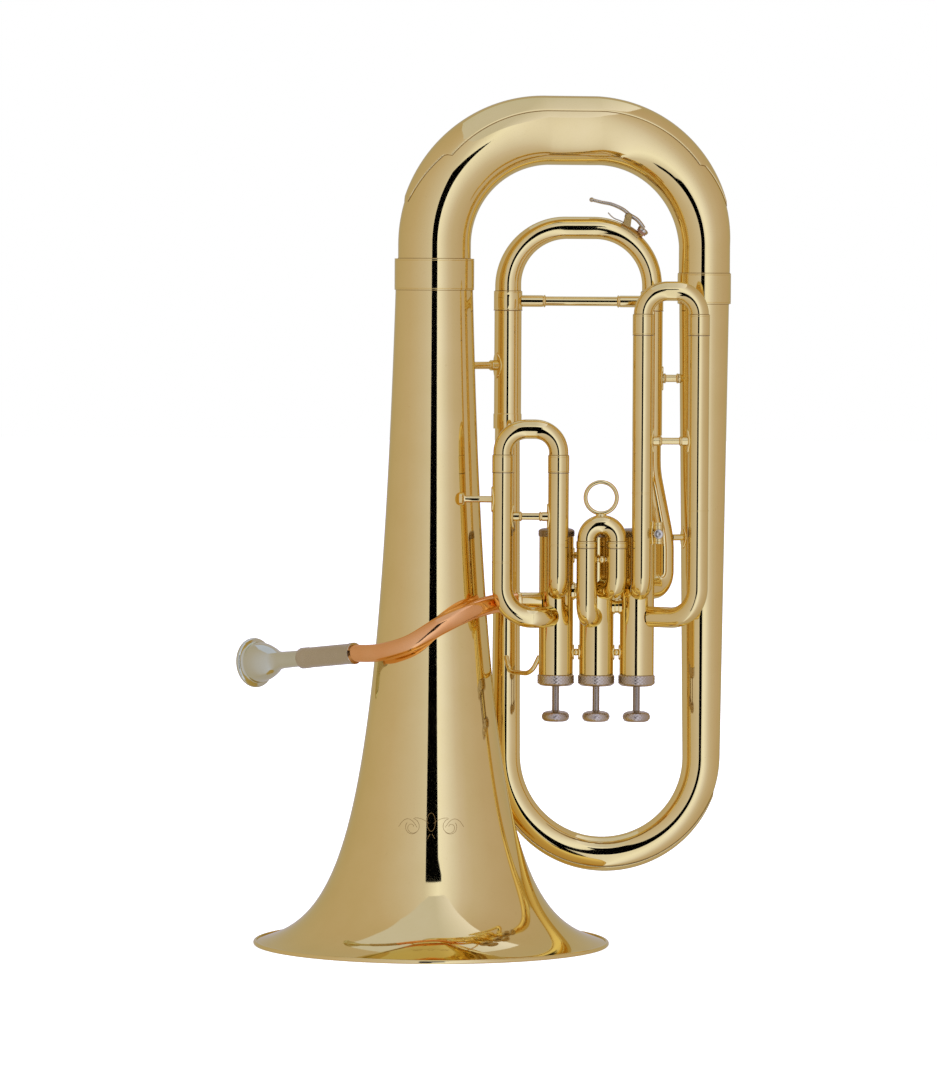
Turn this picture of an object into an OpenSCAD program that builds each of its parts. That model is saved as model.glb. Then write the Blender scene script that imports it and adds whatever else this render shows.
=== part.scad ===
// Three-valve euphonium, standing on the rim of its bell with the bows at the top.
// Millimetres. The origin is the centre of the bell rim's resting plane; +Z points up the bell,
// +X runs from the bell towards the big branch and -Y is the side that faces the audience's left,
// where the valve slides are. The finger buttons point down and are pressed in +Z.

/* [Bell] */
// Outer radius of the bell at its rim, to the outside of the rolled bead
bell_rim_r = 140; // [120:0.5:160]
// Outer radius of the bell throat where it enters its ferrule
bell_throat_r = 30.2; // [26:0.1:34]
// Strength of the flare: how far the radius opens for each e-fold of distance
bell_flare = 28; // [20:0.5:36]
// Distance above the rim over which the flare stays finite
bell_flare_reach = 4.8; // [3:0.1:9]
// Height where the bell ends inside its ferrule
bell_top_z = 520; // [515:1:535]
// Wire radius of the rolled bead on the rim
bead_r = 1.75; // [1:0.05:3]

/* [Bows and branches] */
// Distance in X from the bell axis to the big branch
branch_x = 212.9; // [200:0.1:230]
// How far the branches and the tuning slide lie behind the bell axis
branch_y = 38; // [34:0.5:44]
// Distance in X from the bell axis to the small branch and the tuning slide's left leg
small_x = 58.1; // [54:0.1:62]
// Height where the top bow's arcs spring from its legs
top_spring_z = 550; // [545:1:560]
// Bend radius of the top bow's centreline
top_bend_r = 89.4; // [80:0.1:95]
// Outer radius of the top bow at the bell, at its crown and at the branch
top_bow_radii = [28.5, 26.6, 20.2]; // [18:0.1:32]
// Outer radius of the big branch at its top and bottom
branch_radii = [19.8, 14.9]; // [12:0.1:22]
// Outer radius of the bottom bow from the small branch through its lowest point to the big branch
bottom_bow_radii = [11.5, 13.3, 14.9]; // [10:0.1:17]
// Height where the bottom bow springs from the branches
bottom_spring_z = 146; // [130:1:160]
// Wall thickness of the bell, bows and branches
sheet = 0.8; // [0.6:0.1:1.2]

/* [Main tuning slide] */
// Distance in X from the bell axis to the slide's right leg
tuning_right_x = 171.7; // [168:0.1:176]
// Height of the open ends of the slide's outer sleeves
tuning_sleeve_top = 498.1; // [480:0.1:510]
// Height where the crook's arcs spring
tuning_spring_z = 518; // [514:1:524]
// Bend radius of the crook
tuning_bend_r = 45.7; // [35:0.1:50]
// How far the slide draws out
tuning_travel = 20; // [10:1:24]

/* [Valves] */
// Position of the first valve axis in X
valve_x = 96.8; // [94:0.1:100]
// Distance between neighbouring valve axes
valve_pitch = 31.7; // [31:0.1:34]
// Position of the valve axes in Y
valve_y = -5; // [-8:0.5:-2]
// Outer radius of a valve casing
casing_r = 13.5; // [13:0.1:14]
// Wall thickness of a valve casing
casing_wall = 1; // [0.8:0.1:1.4]
// Height of the button end of the casings
casing_bottom_z = 213.6; // [205:0.1:220]
// Height of the spring end of the casings
casing_top_z = 321.7; // [315:0.1:330]
// How far a finger button travels
valve_stroke = 18; // [14:0.5:19]

/* [Valve slides] */
// Outer radius of the slide sleeves
sleeve_r = 8.1; // [7.9:0.1:8.6]
// Outer radius of the slide crooks, for a 14.5 mm bore
crook_r = 7.55; // [7.4:0.05:7.8]
// Position in Y of all the valve slides' legs
slide_y = -34; // [-38:0.5:-33]
// Height of the row of ports that the inner legs enter
port_high_z = 281.3; // [278:0.1:285]
// Height of the row of ports that the outer legs enter
port_low_z = 259.4; // [255:0.1:262]

/* [Mouthpiece and leadpipe] */
// Bearing of the receiver away from the bell, measured from -X towards +Y
receiver_bearing = 45; // [30:1:50]
// Dip of the receiver below the horizontal
receiver_dip = 6.5; // [0:0.1:10]
// Length of the mouthpiece receiver
receiver_len = 60; // [50:1:75]
// Outer radius of the mouthpiece rim
mouthpiece_rim_r = 19.8; // [18:0.1:21]

/* [Hidden] */
$fn = 64;

brass = [0.80, 0.64, 0.36];
copper = [0.78, 0.47, 0.30];
nickel = [0.76, 0.72, 0.66];
silver = [0.85, 0.85, 0.84];
felt = [0.25, 0.25, 0.24];
cork = [0.70, 0.53, 0.34];
steel = [0.60, 0.60, 0.60];

UP = [0, 0, 1];
fit = 0.05;                       // radial clearance of pistons and slide tubes
lip = 0.3;                        // gap between a slide's ferrules and its sleeves
ferrule_lap = 12;                 // how far a tube runs inside a ferrule

function unit(v) = v / norm(v);
function lerp(a, b, t) = a + (b - a) * t;
// The value at s of the parabola through (0, q[0]), (0.5, q[1]) and (1, q[2])
function blend3(q, s) = q[0] * (1 - s) * (1 - 2 * s) + q[1] * 4 * s * (1 - s) + q[2] * s * (2 * s - 1);
// A matrix with the columns x, y, z and the origin o
function frame_at(x, y, z, o) = [
    [x[0], y[0], z[0], o[0]], [x[1], y[1], z[1], o[1]], [x[2], y[2], z[2], o[2]], [0, 0, 0, 1]];

// ---------- rods and tubes made of true cylinders and torus arcs ----------

// Places its children so that their Z axis starts at a and points along d
module along(a, d) {
    z = unit(d);
    x = unit(cross(abs(z[2]) > 0.9 ? [0, 1, 0] : UP, z));
    multmatrix(frame_at(x, cross(z, x), z, a)) children();
}

module rod(a, b, r) {
    along(a, b - a) cylinder(r = r, h = norm(b - a));
}

module pipe_section(r, wall) {
    difference() {
        circle(r = r);
        if (wall > 0) circle(r = r - wall);
    }
}

// A U of round rod in the plane of X and Z: legs at x[0] and x[1] from z up to the crown at top
module u_rod(x, y, z, top, bend, r) {
    for (leg = x) translate([leg, y, z]) cylinder(r = r, h = top - bend - z);
    translate([x[0] + bend, y, top]) rotate([0, 90, 0]) cylinder(r = r, h = x[1] - x[0] - 2 * bend);
    for (e = [[x[0] + bend, 90], [x[1] - bend, 0]])
        translate([e[0], y, top - bend]) rotate([90, 0, 0]) rotate([0, 0, e[1]])
            rotate_extrude(angle = 90) translate([bend, 0]) circle(r = r);
}

module straight_tube(x, y, z0, z1, r, wall) {
    translate([x, y, z0]) linear_extrude(z1 - z0) pipe_section(r, wall);
}

// A short stepped sleeve that covers the joint of two tubes of different size
module ferrule(x, y, z0, z1, r, r_low, r_high) {
    translate([x, y, 0]) rotate_extrude() difference() {
        translate([0, z0]) square([r, z1 - z0]);
        translate([0, z0 - 1]) square([r_low + fit, z1 - z0 - 0.2]);
        translate([0, z1 - 2]) square([r_high + fit, 4]);
    }
}

// ---------- swept skins for tapered tubes, guards and coils ----------

// A path is a list of stations [point, tangent, outward unit vector, share of the way along]
function loop(st, r, sides) = let (w = cross(st[1], st[2]))
    [for (k = [0:sides - 1]) let (a = 360 * k / sides) st[0] + r * (cos(a) * st[2] + sin(a) * w)];

function ring_quads(i, j, n) = [for (k = [0:n - 1]) let (l = (k + 1) % n)
    each [[i * n + k, j * n + k, j * n + l], [i * n + k, j * n + l, i * n + l]]];

// Rings joined into a closed chain: the wall of a hollow tube
module closed_skin(rings) {
    m = len(rings);
    polyhedron([for (r = rings) each r],
        [for (i = [0:m - 1]) each ring_quads(i, (i + 1) % m, len(rings[0]))]);
}

// Rings joined end to end with a cap at either end: a solid sweep
module capped_skin(rings) {
    m = len(rings);
    n = len(rings[0]);
    polyhedron([for (r = rings) each r], concat(
        [for (i = [0:m - 2]) each ring_quads(i, i + 1, n)],
        [[for (k = [0:n - 1]) k]], [[for (k = [0:n - 1]) m * n - 1 - k]]));
}

module swept_tube(path, radii, wall, sides) {
    m = len(path);
    closed_skin(concat(
        [for (i = [0:m - 1]) loop(path[i], radii[i], sides)],
        [for (i = [0:m - 1]) loop(path[m - 1 - i], radii[m - 1 - i] - wall, sides)]));
}

// Stations of a U in a vertical plane: legs at h = 0 and h = span, arcs of radius bend that
// spring at height z and rise (up = 1) or hang (up = -1), with leg ends at z0 and z1
function arch(origin, bearing, span, bend, z, up, z0, z1, steps) = let (
        flat = [cos(bearing), sin(bearing), 0],
        at = function(h, v) [origin[0], origin[1], 0] + h * flat + v * UP,
        arc = [for (i = [0:steps]) 180 - 180 * i / steps],
        turn = [for (a = arc) let (c = a >= 90 ? bend : span - bend)
            [at(c + bend * cos(a), z + up * bend * sin(a)), sin(a) * flat - up * cos(a) * UP,
             cos(a) * flat + up * sin(a) * UP, 1 - a / 180]])
    concat([[at(0, z0), up * UP, -flat, 0]], turn, [[at(span, z1), -up * UP, flat, 1]]);

// The stations of an arch without its legs, at the path angles t
function arch_at(origin, bearing, span, bend, z, up, t) = let (
        flat = [cos(bearing), sin(bearing), 0], a = 180 - t, c = a >= 90 ? bend : span - bend)
    [[origin[0], origin[1], 0] + (c + bend * cos(a)) * flat + (z + up * bend * sin(a)) * UP,
     sin(a) * flat - up * cos(a) * UP, cos(a) * flat + up * sin(a) * UP, t / 180];

// A thin plate lying on a swept tube: r inner radius, half the angle it covers, thickness th
function plate_ring(st, r, half, th, n) = let (w = cross(st[1], st[2]),
        a = [for (k = [0:n - 1]) lerp(-half, half, k / (n - 1))])
    concat([for (k = [0:n - 1]) st[0] + (r + th) * (cos(a[k]) * st[2] + sin(a[k]) * w)],
           [for (k = [n - 1:-1:0]) st[0] + r * (cos(a[k]) * st[2] + sin(a[k]) * w)]);

// Stations along the corners p, each rounded to its radius in bends with n steps; ref is a
// direction that the path never follows
function bent_path(p, bends, n, ref) = let (
        last = len(p) - 1,
        d = [for (i = [0:last - 1]) unit(p[i + 1] - p[i])],
        side = function(t) unit(ref - (ref * t) * t))
    concat([[p[0], d[0], side(d[0]), 0]],
        [for (i = [1:last - 1]) let (
                turn = acos(d[i - 1] * d[i]), inward = unit(d[i] - (d[i - 1] * d[i]) * d[i - 1]),
                start = p[i] - d[i - 1] * bends[i - 1] * tan(turn / 2))
            for (k = [0:n]) let (
                    a = turn * k / n, t = cos(a) * d[i - 1] + sin(a) * inward)
                [start + bends[i - 1] * (sin(a) * d[i - 1] + (1 - cos(a)) * inward), t, side(t), i / last]],
        [[p[last], d[last - 1], side(d[last - 1]), 1]]);

// Catmull-Rom curve through the points p, with k stations for each stretch
function spline_at(p, i, t) = let (n = len(p), a = p[max(i - 1, 0)], b = p[i],
        c = p[min(i + 1, n - 1)], d = p[min(i + 2, n - 1)])
    0.5 * (2 * b + (c - a) * t + (2 * a - 5 * b + 4 * c - d) * t * t
        + (3 * b - a - 3 * c + d) * t * t * t);
function spline_path(p, k) = let (n = len(p) - 1, m = n * k,
        q = [for (j = [0:m]) spline_at(p, min(floor(j / k), n - 1), j / k - min(floor(j / k), n - 1))])
    [for (j = [0:m]) let (t = unit(q[min(j + 1, m)] - q[max(j - 1, 0)]))
        [q[j], t, unit(cross(t, UP)), j / m]];

// A coil of wire standing on (x, y, z0)
module coil(x, y, z0, height, r, wire, turns, steps, sides) {
    m = turns * steps;
    rise = height / turns / 360;
    capped_skin([for (j = [0:m]) let (
            a = 360 * j / steps, o = [cos(a), sin(a), 0],
            t = unit([-sin(a), cos(a), rise * 180 / PI / r]))
        loop([[x, y, z0] + r * o + rise * a * UP, t, o, 0], wire, sides)]);
}

// ---------- bell ----------

function bell_r(z) = bell_throat_r + bell_flare * ln((bell_top_z + bell_flare_reach)
    / (z + bell_flare_reach)) - 0.026 * (bell_top_z - z);
// Heights packed towards the rim, where the flare is tight
bell_heights = [for (i = [0:40]) 2 * bead_r * 0.6 + (bell_top_z - 2 * bead_r * 0.6) * pow(i / 40, 2.2)];
bell_lip_r = bell_rim_r - bead_r;

module bell_profile() {
    outer = [for (z = bell_heights) [min(bell_r(z), bell_lip_r), z]];
    // the sheet thickens a little where it is spun over the bead
    inner = [for (p = outer) let (spun = max(0, 1 - p[1] / 30)) p + [-sheet - 0.9 * spun, 0.3 * spun]];
    polygon(concat(outer, [for (i = [len(inner) - 1:-1:0]) inner[i]]));
}

module bell() {
    color(brass) rotate_extrude($fn = 96) bell_profile();
}

// Rolled wire bead round the rim, with the flat that the instrument rests on
module bell_rim_bead() {
    color(brass) rotate_extrude($fn = 96) difference() {
        intersection() {
            translate([bell_lip_r, bead_r - 0.25]) circle(r = bead_r);
            translate([bell_lip_r - 5, 0]) square([10, 5]);
        }
        bell_profile();
    }
}

// ---------- bows, branches and their ferrules ----------

bow_bearing = atan2(branch_y, branch_x);
bow_span = norm([branch_x, branch_y]);
bell_ferrule_z = [514.3, 538.8];
branch_ferrule_z = [504.3, 528.4];

module bell_ferrule() {
    color(brass) ferrule(0, 0, bell_ferrule_z[0], bell_ferrule_z[1], 31.2, 30.5, top_bow_radii[0]);
}

module branch_ferrule() {
    color(brass) ferrule(branch_x, branch_y, branch_ferrule_z[0], branch_ferrule_z[1], 21.1, 20.3,
        top_bow_radii[2]);
}

top_path = arch([0, 0], bow_bearing, bow_span, top_bend_r, top_spring_z, 1,
    bell_top_z + 1, branch_ferrule_z[0] + ferrule_lap, 24);

module top_bow() {
    color(brass) swept_tube(top_path, [for (s = top_path) blend3(top_bow_radii, s[3])], sheet, 26);
}

guard_tips = [16.5, 163.5];       // path angles where the guard starts and ends
guard_tail = 23.5;                // length of its left tail, up to the shoulder

// Half the angle the guard covers round the bow: tails that widen, a shoulder, the broad middle
function guard_half(t) = let (
        e = t < 90 ? t - guard_tips[0] : (guard_tips[1] - t) * guard_tail / 20.5)
    e >= guard_tail ? 55 : 16 + 28 * pow(max(e, 0) / guard_tail, 0.8);
// The bow's own stations, with the two steps of the shoulders between them
guard_angles = concat([guard_tips[0]], [for (t = [22.5:7.5:37.5]) t], [39.4, 40],
    [for (t = [45:7.5:142.5]) t], [143, 143.6], [150, 157.5, guard_tips[1]]);

// Pressed guard plate soldered over the outside of the top bow, with a pointed tail at each end
module top_bow_guard() {
    color(brass) capped_skin([for (t = guard_angles)
        let (st = arch_at([0, 0], bow_bearing, bow_span, top_bend_r, top_spring_z, 1, t))
        plate_ring(st, blend3(top_bow_radii, st[3]) + 0.12, guard_half(t), 1, 15)]);
}

module big_branch() {
    color(brass) translate([branch_x, branch_y, bottom_spring_z]) rotate_extrude() polygon([
        [branch_radii[1] - sheet, 0], [branch_radii[1], 0],
        [branch_radii[0], branch_ferrule_z[0] + ferrule_lap - bottom_spring_z - 0.5],
        [branch_radii[0] - sheet, branch_ferrule_z[0] + ferrule_lap - bottom_spring_z - 0.5]]);
}

bottom_bend_r = (branch_x - small_x) / 2;
bottom_path = arch([small_x, branch_y], 0, branch_x - small_x, bottom_bend_r, bottom_spring_z, -1,
    bottom_spring_z + 0.5, bottom_spring_z + 0.5, 20);

module bottom_bow() {
    path = [for (i = [1:len(bottom_path) - 2]) bottom_path[i]];
    color(brass) swept_tube(path, [for (s = path) blend3(bottom_bow_radii, s[3])], sheet, 22);
}

// Guard strip along the outside of the bottom bow, pointed at both ends
module bottom_bow_guard() {
    color(brass) capped_skin([for (t = [18:9:162])
        let (st = arch_at([small_x, branch_y], 0, branch_x - small_x, bottom_bend_r, bottom_spring_z, -1, t))
        plate_ring(st, blend3(bottom_bow_radii, st[3]) + 0.12,
            10 + 34 * pow(max(sin((t - 18) * 180 / 144), 0), 0.6), 0.8, 11)]);
}

small_branch_top = 411;
module small_branch() {
    color(brass) translate([small_x, branch_y, bottom_spring_z]) rotate_extrude() polygon([
        [bottom_bow_radii[0] - sheet, 0], [bottom_bow_radii[0], 0],
        [9.8, small_branch_top - bottom_spring_z], [9.8 - sheet, small_branch_top - bottom_spring_z]]);
}

// ---------- main tuning slide ----------

tuning_left_r = 10.7;
tuning_right_r = 8.6;
tuning_sleeve_z = 400;
tuning_ferrule_z = [tuning_sleeve_top + lip, 513.6];
tuning_sleeve_wall = 0.7;
tuning_inner_end = tuning_sleeve_top - tuning_travel - 45;

module tuning_sleeves() {
    color(brass) {
        straight_tube(small_x, branch_y, small_branch_top + 0.5, tuning_sleeve_top,
            tuning_left_r, tuning_sleeve_wall);
        straight_tube(tuning_right_x, branch_y, tuning_sleeve_z, tuning_sleeve_top,
            tuning_right_r, tuning_sleeve_wall);
    }
}

// Run from the tuning slide down and forward into the back of the third valve
outlet_corner = [182, 24];
valve3 = [valve_x + 2 * valve_pitch, valve_y];
outlet_in = [outlet_corner[0], outlet_corner[1], 280];
module valve_outlet_tube() {
    r = tuning_right_r - tuning_sleeve_wall;
    path = bent_path([[tuning_right_x, branch_y, tuning_sleeve_z - 0.1], [tuning_right_x, branch_y, 372],
        [outlet_corner[0], outlet_corner[1], 318], outlet_in, [valve3[0], valve3[1], 280]],
        [60, 60, 14], 5, [0.79, -0.62, 0]);
    color(brass) difference() {
        swept_tube(path, [for (s = path) r], 0.7, 20);
        casing_plug(3);
    }
}

module tuning_inner_tubes() {
    color(nickel) {
        straight_tube(small_x, branch_y, tuning_inner_end, tuning_spring_z - 5,
            tuning_left_r - tuning_sleeve_wall - fit, 0.6);
        straight_tube(tuning_right_x, branch_y, tuning_inner_end, tuning_spring_z - 5,
            tuning_right_r - tuning_sleeve_wall - fit, 0.6);
    }
}

tuning_span = tuning_right_x - small_x;
tuning_crook_radii = [10.3, 8.8, 7.85];
tuning_path = arch([small_x, branch_y], 0, tuning_span, tuning_bend_r, tuning_spring_z, 1,
    tuning_spring_z - 4.8, tuning_spring_z - 4.8, 20);

module tuning_crook() {
    color(brass) swept_tube(tuning_path, [for (s = tuning_path) blend3(tuning_crook_radii, s[3])], sheet, 20);
}

module tuning_ferrules() {
    color(brass) {
        ferrule(small_x, branch_y, tuning_ferrule_z[0], tuning_ferrule_z[1], 11.2,
            tuning_left_r - tuning_sleeve_wall, tuning_crook_radii[0]);
        ferrule(tuning_right_x, branch_y, tuning_ferrule_z[0], tuning_ferrule_z[1], 9,
            tuning_right_r - tuning_sleeve_wall, tuning_crook_radii[2]);
    }
}

// A stay between two tubes: a rod with a turned socket at either end, cut to both tubes
module stay(a, b, rod_r, socket_r, socket_len) {
    d = unit(b - a);
    rod(a, b, rod_r);
    for (e = [[a, d], [b, -d]]) along(e[0], e[1]) rotate_extrude() polygon([
        [0, 0], [socket_r, 0], [socket_r, socket_len - 1.5], [socket_r - 0.6, socket_len - 0.8],
        [socket_r - 0.2, socket_len], [rod_r, socket_len + 0.4], [0, socket_len + 0.4]]);
}

tuning_brace_z = 505.8;
module tuning_brace() {
    color(brass) difference() {
        stay([small_x, branch_y, tuning_brace_z], [tuning_right_x, branch_y, tuning_brace_z],
            3.7, 4.6, 29);
        translate([small_x, branch_y, 490]) cylinder(r = 11.25, h = 40);
        translate([tuning_right_x, branch_y, 490]) cylinder(r = 9.05, h = 40);
    }
}

// ---------- water key on the tuning crook's shoulder ----------

shoulder = [small_x + tuning_span - tuning_bend_r, branch_y, tuning_spring_z];
function on_shoulder(r, angle) = shoulder + r * [cos(angle), 0, sin(angle)];
key_pivot = on_shoulder(61, 64);
key_hole_angle = 49;
pin_r = 1.2;

// Places its children with Z pointing out of the crook at the given angle and radius
module at_shoulder(r, angle) {
    translate(on_shoulder(r, angle)) rotate([0, 90 - angle, 0]) children();
}

module water_key_saddle() {
    color(nickel) difference() {
        union() {
            // curved foot on the crook
            intersection() {
                multmatrix(frame_at([1, 0, 0], UP, [0, -1, 0], shoulder)) rotate([0, 0, 48])
                    rotate_extrude(angle = 18) translate([tuning_bend_r, 0]) circle(r = 9.5);
                at_shoulder(tuning_bend_r, 57) translate([-20, -7, 3]) cube([40, 14, 12]);
            }
            // two lugs that carry the pivot screw
            for (s = [-1, 1]) hull() {
                translate(key_pivot + [0, s * 4.4, 0]) rotate([90, 0, 0])
                    cylinder(r = 2.6, h = 1.6, center = true, $fn = 24);
                translate(on_shoulder(tuning_bend_r + 8, 62) + [0, s * 4.4, 0]) rotate([90, 0, 0])
                    cylinder(r = 3.2, h = 1.6, center = true, $fn = 24);
            }
            // nipple that the cork closes
            at_shoulder(tuning_bend_r + 7, key_hole_angle) cylinder(r = 3, h = 2.6);
        }
        // the crook itself, the drain hole and the pivot hole
        multmatrix(frame_at([1, 0, 0], UP, [0, -1, 0], shoulder)) rotate([0, 0, 30])
            rotate_extrude(angle = 60) translate([tuning_bend_r, 0]) circle(r = 8.45);
        at_shoulder(tuning_bend_r, key_hole_angle) cylinder(r = 1.6, h = 20);
        translate(key_pivot) rotate([90, 0, 0]) cylinder(r = pin_r, h = 20, center = true);
    }
    // pivot screw
    color(steel) translate(key_pivot) rotate([90, 0, 0]) {
        cylinder(r = pin_r - 0.02, h = 10.4, center = true);
        translate([0, 0, 5.2]) cylinder(r = 2.1, h = 1.2);
    }
}

cup_r = 4.6;
cork_r = 4;
seat_r = tuning_bend_r + 9.75;
module water_key() {
    color(nickel) difference() {
        union() {
            translate(key_pivot) rotate([90, 0, 0]) cylinder(r = 2.4, h = 6.6, center = true);
            // arm from the barrel back to the finger plate, then to the cork cup
            rod(key_pivot + [-1, 0, 1.4], on_shoulder(66, 78), 1.7);
            rod(on_shoulder(66, 78), on_shoulder(68, 92), 1.5);
            rod(key_pivot + [1, 0, 1], on_shoulder(seat_r + 4.2, key_hole_angle + 1), 1.7);
            at_shoulder(seat_r + 1.6, key_hole_angle) cylinder(r = cup_r, h = 3);
            // finger plate
            at_shoulder(66.6, 84) hull() {
                translate([-7, 0, 0]) cylinder(r = 3.4, h = 1.5, $fn = 32);
                translate([3, 0, 0]) cylinder(r = 2.4, h = 1.5, $fn = 32);
            }
            translate(on_shoulder(68, 92)) sphere(r = 1.9);
        }
        translate(key_pivot) rotate([90, 0, 0]) cylinder(r = pin_r + 0.05, h = 20, center = true);
    }
}

module water_key_cork() {
    color(cork) at_shoulder(seat_r, key_hole_angle) cylinder(r = cork_r, h = 1.55);
}

module water_key_spring() {
    color(steel) for (s = [-1, 1]) translate(key_pivot) rotate([90, 0, 0])
        coil(0, 0, s > 0 ? 2.05 : -3.15, 1.1, 2.95, 0.22, 2, 10, 5);
}

// ---------- valves ----------

function valve_at(i) = [valve_x + i * valve_pitch, valve_y];
port_bore_r = 7.1;
casing_bore = casing_r - casing_wall;
casing_len = casing_top_z - casing_bottom_z;

module casing_plug(number) {
    translate([valve_at(number - 1)[0], valve_y, casing_bottom_z - 5]) cylinder(r = casing_r + 0.02, h = 120);
}

// Where each tube meets its casing: [bearing, height]
knuckle_z = [279, 268];
socket_z = 270;
port_list = [
    [[atan2(-26, -12.8), port_low_z], [-90, port_high_z], [188.6, socket_z], [0, knuckle_z[0]]],
    [[atan2(-29, -8.4), port_low_z], [atan2(-29, 15.1), port_high_z], [180, knuckle_z[0]], [0, knuckle_z[1]]],
    [[atan2(-29, 46.3), port_low_z], [-90, port_high_z], [180, knuckle_z[1]], [atan2(29, 21.9), 280]]
];

module casing(i) {
    color(brass) translate([valve_at(i)[0], valve_y, 0]) difference() {
        translate([0, 0, casing_bottom_z]) cylinder(r = casing_r, h = casing_len);
        translate([0, 0, casing_bottom_z - 1]) cylinder(r = casing_bore, h = casing_len + 2);
        for (p = port_list[i]) translate([0, 0, p[1]]) rotate([0, 90, p[0]])
            cylinder(r = p[1] == knuckle_z[0] || p[1] == knuckle_z[1] ? 5.4 : port_bore_r, h = 30);
    }
}
module valve_casing_1() { casing(0); }
module valve_casing_2() { casing(1); }
module valve_casing_3() { casing(2); }

cap_r = 14.6;
cap_z = 204.5;
stem_r = 2.8;
// Knurled caps on the button end, with the hole that the stem runs in
module top_caps() {
    h = casing_bottom_z - cap_z;
    color(nickel) for (i = [0:2]) translate([valve_at(i)[0], valve_y, cap_z]) rotate_extrude() polygon([
        [stem_r + 0.4, 0], [cap_r - 3.6, 0], [cap_r - 1.6, 0.5], [cap_r - 0.5, 1.9], [cap_r, 3.4],
        [cap_r, h - 0.9], [cap_r - 0.8, h], [casing_bore, h], [casing_bore, h + 2.5],
        [casing_bore - 1, h + 2.5], [casing_bore - 1, 2.2], [stem_r + 0.4, 2.2]]);
}

bottom_cap_z = 328.2;
module bottom_caps() {
    h = bottom_cap_z - casing_top_z;
    color(nickel) for (i = [0:2]) translate([valve_at(i)[0], valve_y, casing_top_z])
        rotate_extrude() polygon([[0, h], [0, h - 1.6], [casing_bore - 1, h - 1.6],
            [casing_bore - 1, -2.5], [casing_bore, -2.5], [casing_bore, 0], [cap_r - 0.6, 0],
            [cap_r - 0.2, 0.6], [cap_r - 0.2, h - 2], [cap_r - 1.6, h - 0.6], [cap_r - 4, h]]);
}

felt_h = 1.6;
// Felt washers that stop the pistons inside the top caps
module cap_felts() {
    color(felt) for (i = [0:2]) translate([valve_at(i)[0], valve_y, cap_z + 2.2])
        linear_extrude(felt_h) pipe_section(casing_bore - 1.2, casing_bore - 1.2 - stem_r - 0.5);
}

collar_h = 8;                     // the narrow end of a piston, inside its top cap
piston_z = cap_z + 2.2 + felt_h + 0.2 + collar_h;
piston_len = 78;
piston_r = casing_bore - fit;
port_tube_r = 6;
loop_ports = [0, 1];
open_ports = [2, 3];

// Runs its children along each passage of a piston: the loop's ports sit one stroke below the casing's
module piston_passages(i) {
    for (k = loop_ports) let (p = port_list[i][k]) translate([0, 0, p[1] - valve_stroke])
        rotate([0, 90, p[0]]) children();
    for (k = open_ports) let (p = port_list[i][k]) translate([0, 0, p[1]])
        rotate([0, 90, p[0]]) children();
}

// Hollow ported piston with its stem socket
module piston(i) {
    color(nickel) translate([valve_at(i)[0], valve_y, 0]) difference() {
        union() {
            difference() {
                union() {
                    translate([0, 0, piston_z]) cylinder(r = piston_r, h = piston_len);
                    translate([0, 0, piston_z - collar_h]) cylinder(r = casing_bore - 1.4, h = collar_h + 1);
                }
                translate([0, 0, piston_z + 4]) cylinder(r = piston_r - 1, h = piston_len - 11);
                translate([0, 0, piston_z + piston_len - 6]) cylinder(r = piston_r - 1.2, h = 10);
            }
            intersection() {
                piston_passages(i) translate([0, 0, -1]) cylinder(r = port_tube_r + 0.7, h = 30);
                translate([0, 0, piston_z]) cylinder(r = piston_r - 0.5, h = piston_len);
            }
        }
        piston_passages(i) translate([0, 0, -1]) cylinder(r = port_tube_r, h = 30);
        translate([0, 0, piston_z - collar_h - 2]) cylinder(r = stem_r - 0.4, h = collar_h + 7);
    }
}
module piston_1() { piston(0); }
module piston_2() { piston(1); }
module piston_3() { piston(2); }

button_z = 175.6;
button_r = 10.8;
button_h = 9;
// Finger button on its stem, which screws into the piston
module finger_button(i) {
    color(nickel) translate([valve_at(i)[0], valve_y, button_z]) {
        rotate_extrude() polygon(concat([[0, 0.5]],
            [for (a = [-90:18:90]) [button_r - 3.6 + 3.6 * cos(a), button_h / 2 + 4.2 * sin(a)]],
            [[stem_r + 1.2, button_h], [stem_r, button_h + 1], [0, button_h + 1]]));
        translate([0, 0, button_h]) cylinder(r = stem_r, h = piston_z - collar_h - button_z - button_h);
        translate([0, 0, button_h]) cylinder(r = stem_r - 0.4, h = piston_z + 3.9 - button_z - button_h);
    }
}
module finger_button_1() { finger_button(0); }
module finger_button_2() { finger_button(1); }
module finger_button_3() { finger_button(2); }

spring_z0 = piston_z + piston_len - 6;
spring_top = bottom_cap_z - 1.6;
module valve_spring(i) {
    color(steel) coil(valve_at(i)[0], valve_y, spring_z0 + 0.6, spring_top - spring_z0 - 1.2,
        8.6, 0.5, 6, 9, 5);
}
module valve_spring_1() { valve_spring(0); }
module valve_spring_2() { valve_spring(1); }
module valve_spring_3() { valve_spring(2); }

// Short tubes that carry the air from one casing to the next
module valve_knuckles() {
    color(brass) for (i = [0, 1]) difference() {
        translate([valve_at(i)[0], valve_y, knuckle_z[i]]) rotate([0, 90, 0])
            linear_extrude(valve_pitch) pipe_section(6.2, 0.8);
        casing_plug(i + 1);
        casing_plug(i + 2);
    }
}

// A turned rod along X with a bead in the middle
module beaded_rod(x, y, z, length, r) {
    translate([x, y, z]) rotate([0, 90, 0]) rotate_extrude() polygon(concat(
        [[0, 0], [r, 0]], [for (a = [-50:20:50]) [2.9 * cos(a), length / 2 + 2.4 * sin(a)]],
        [[r, length], [0, length]]));
}

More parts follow.
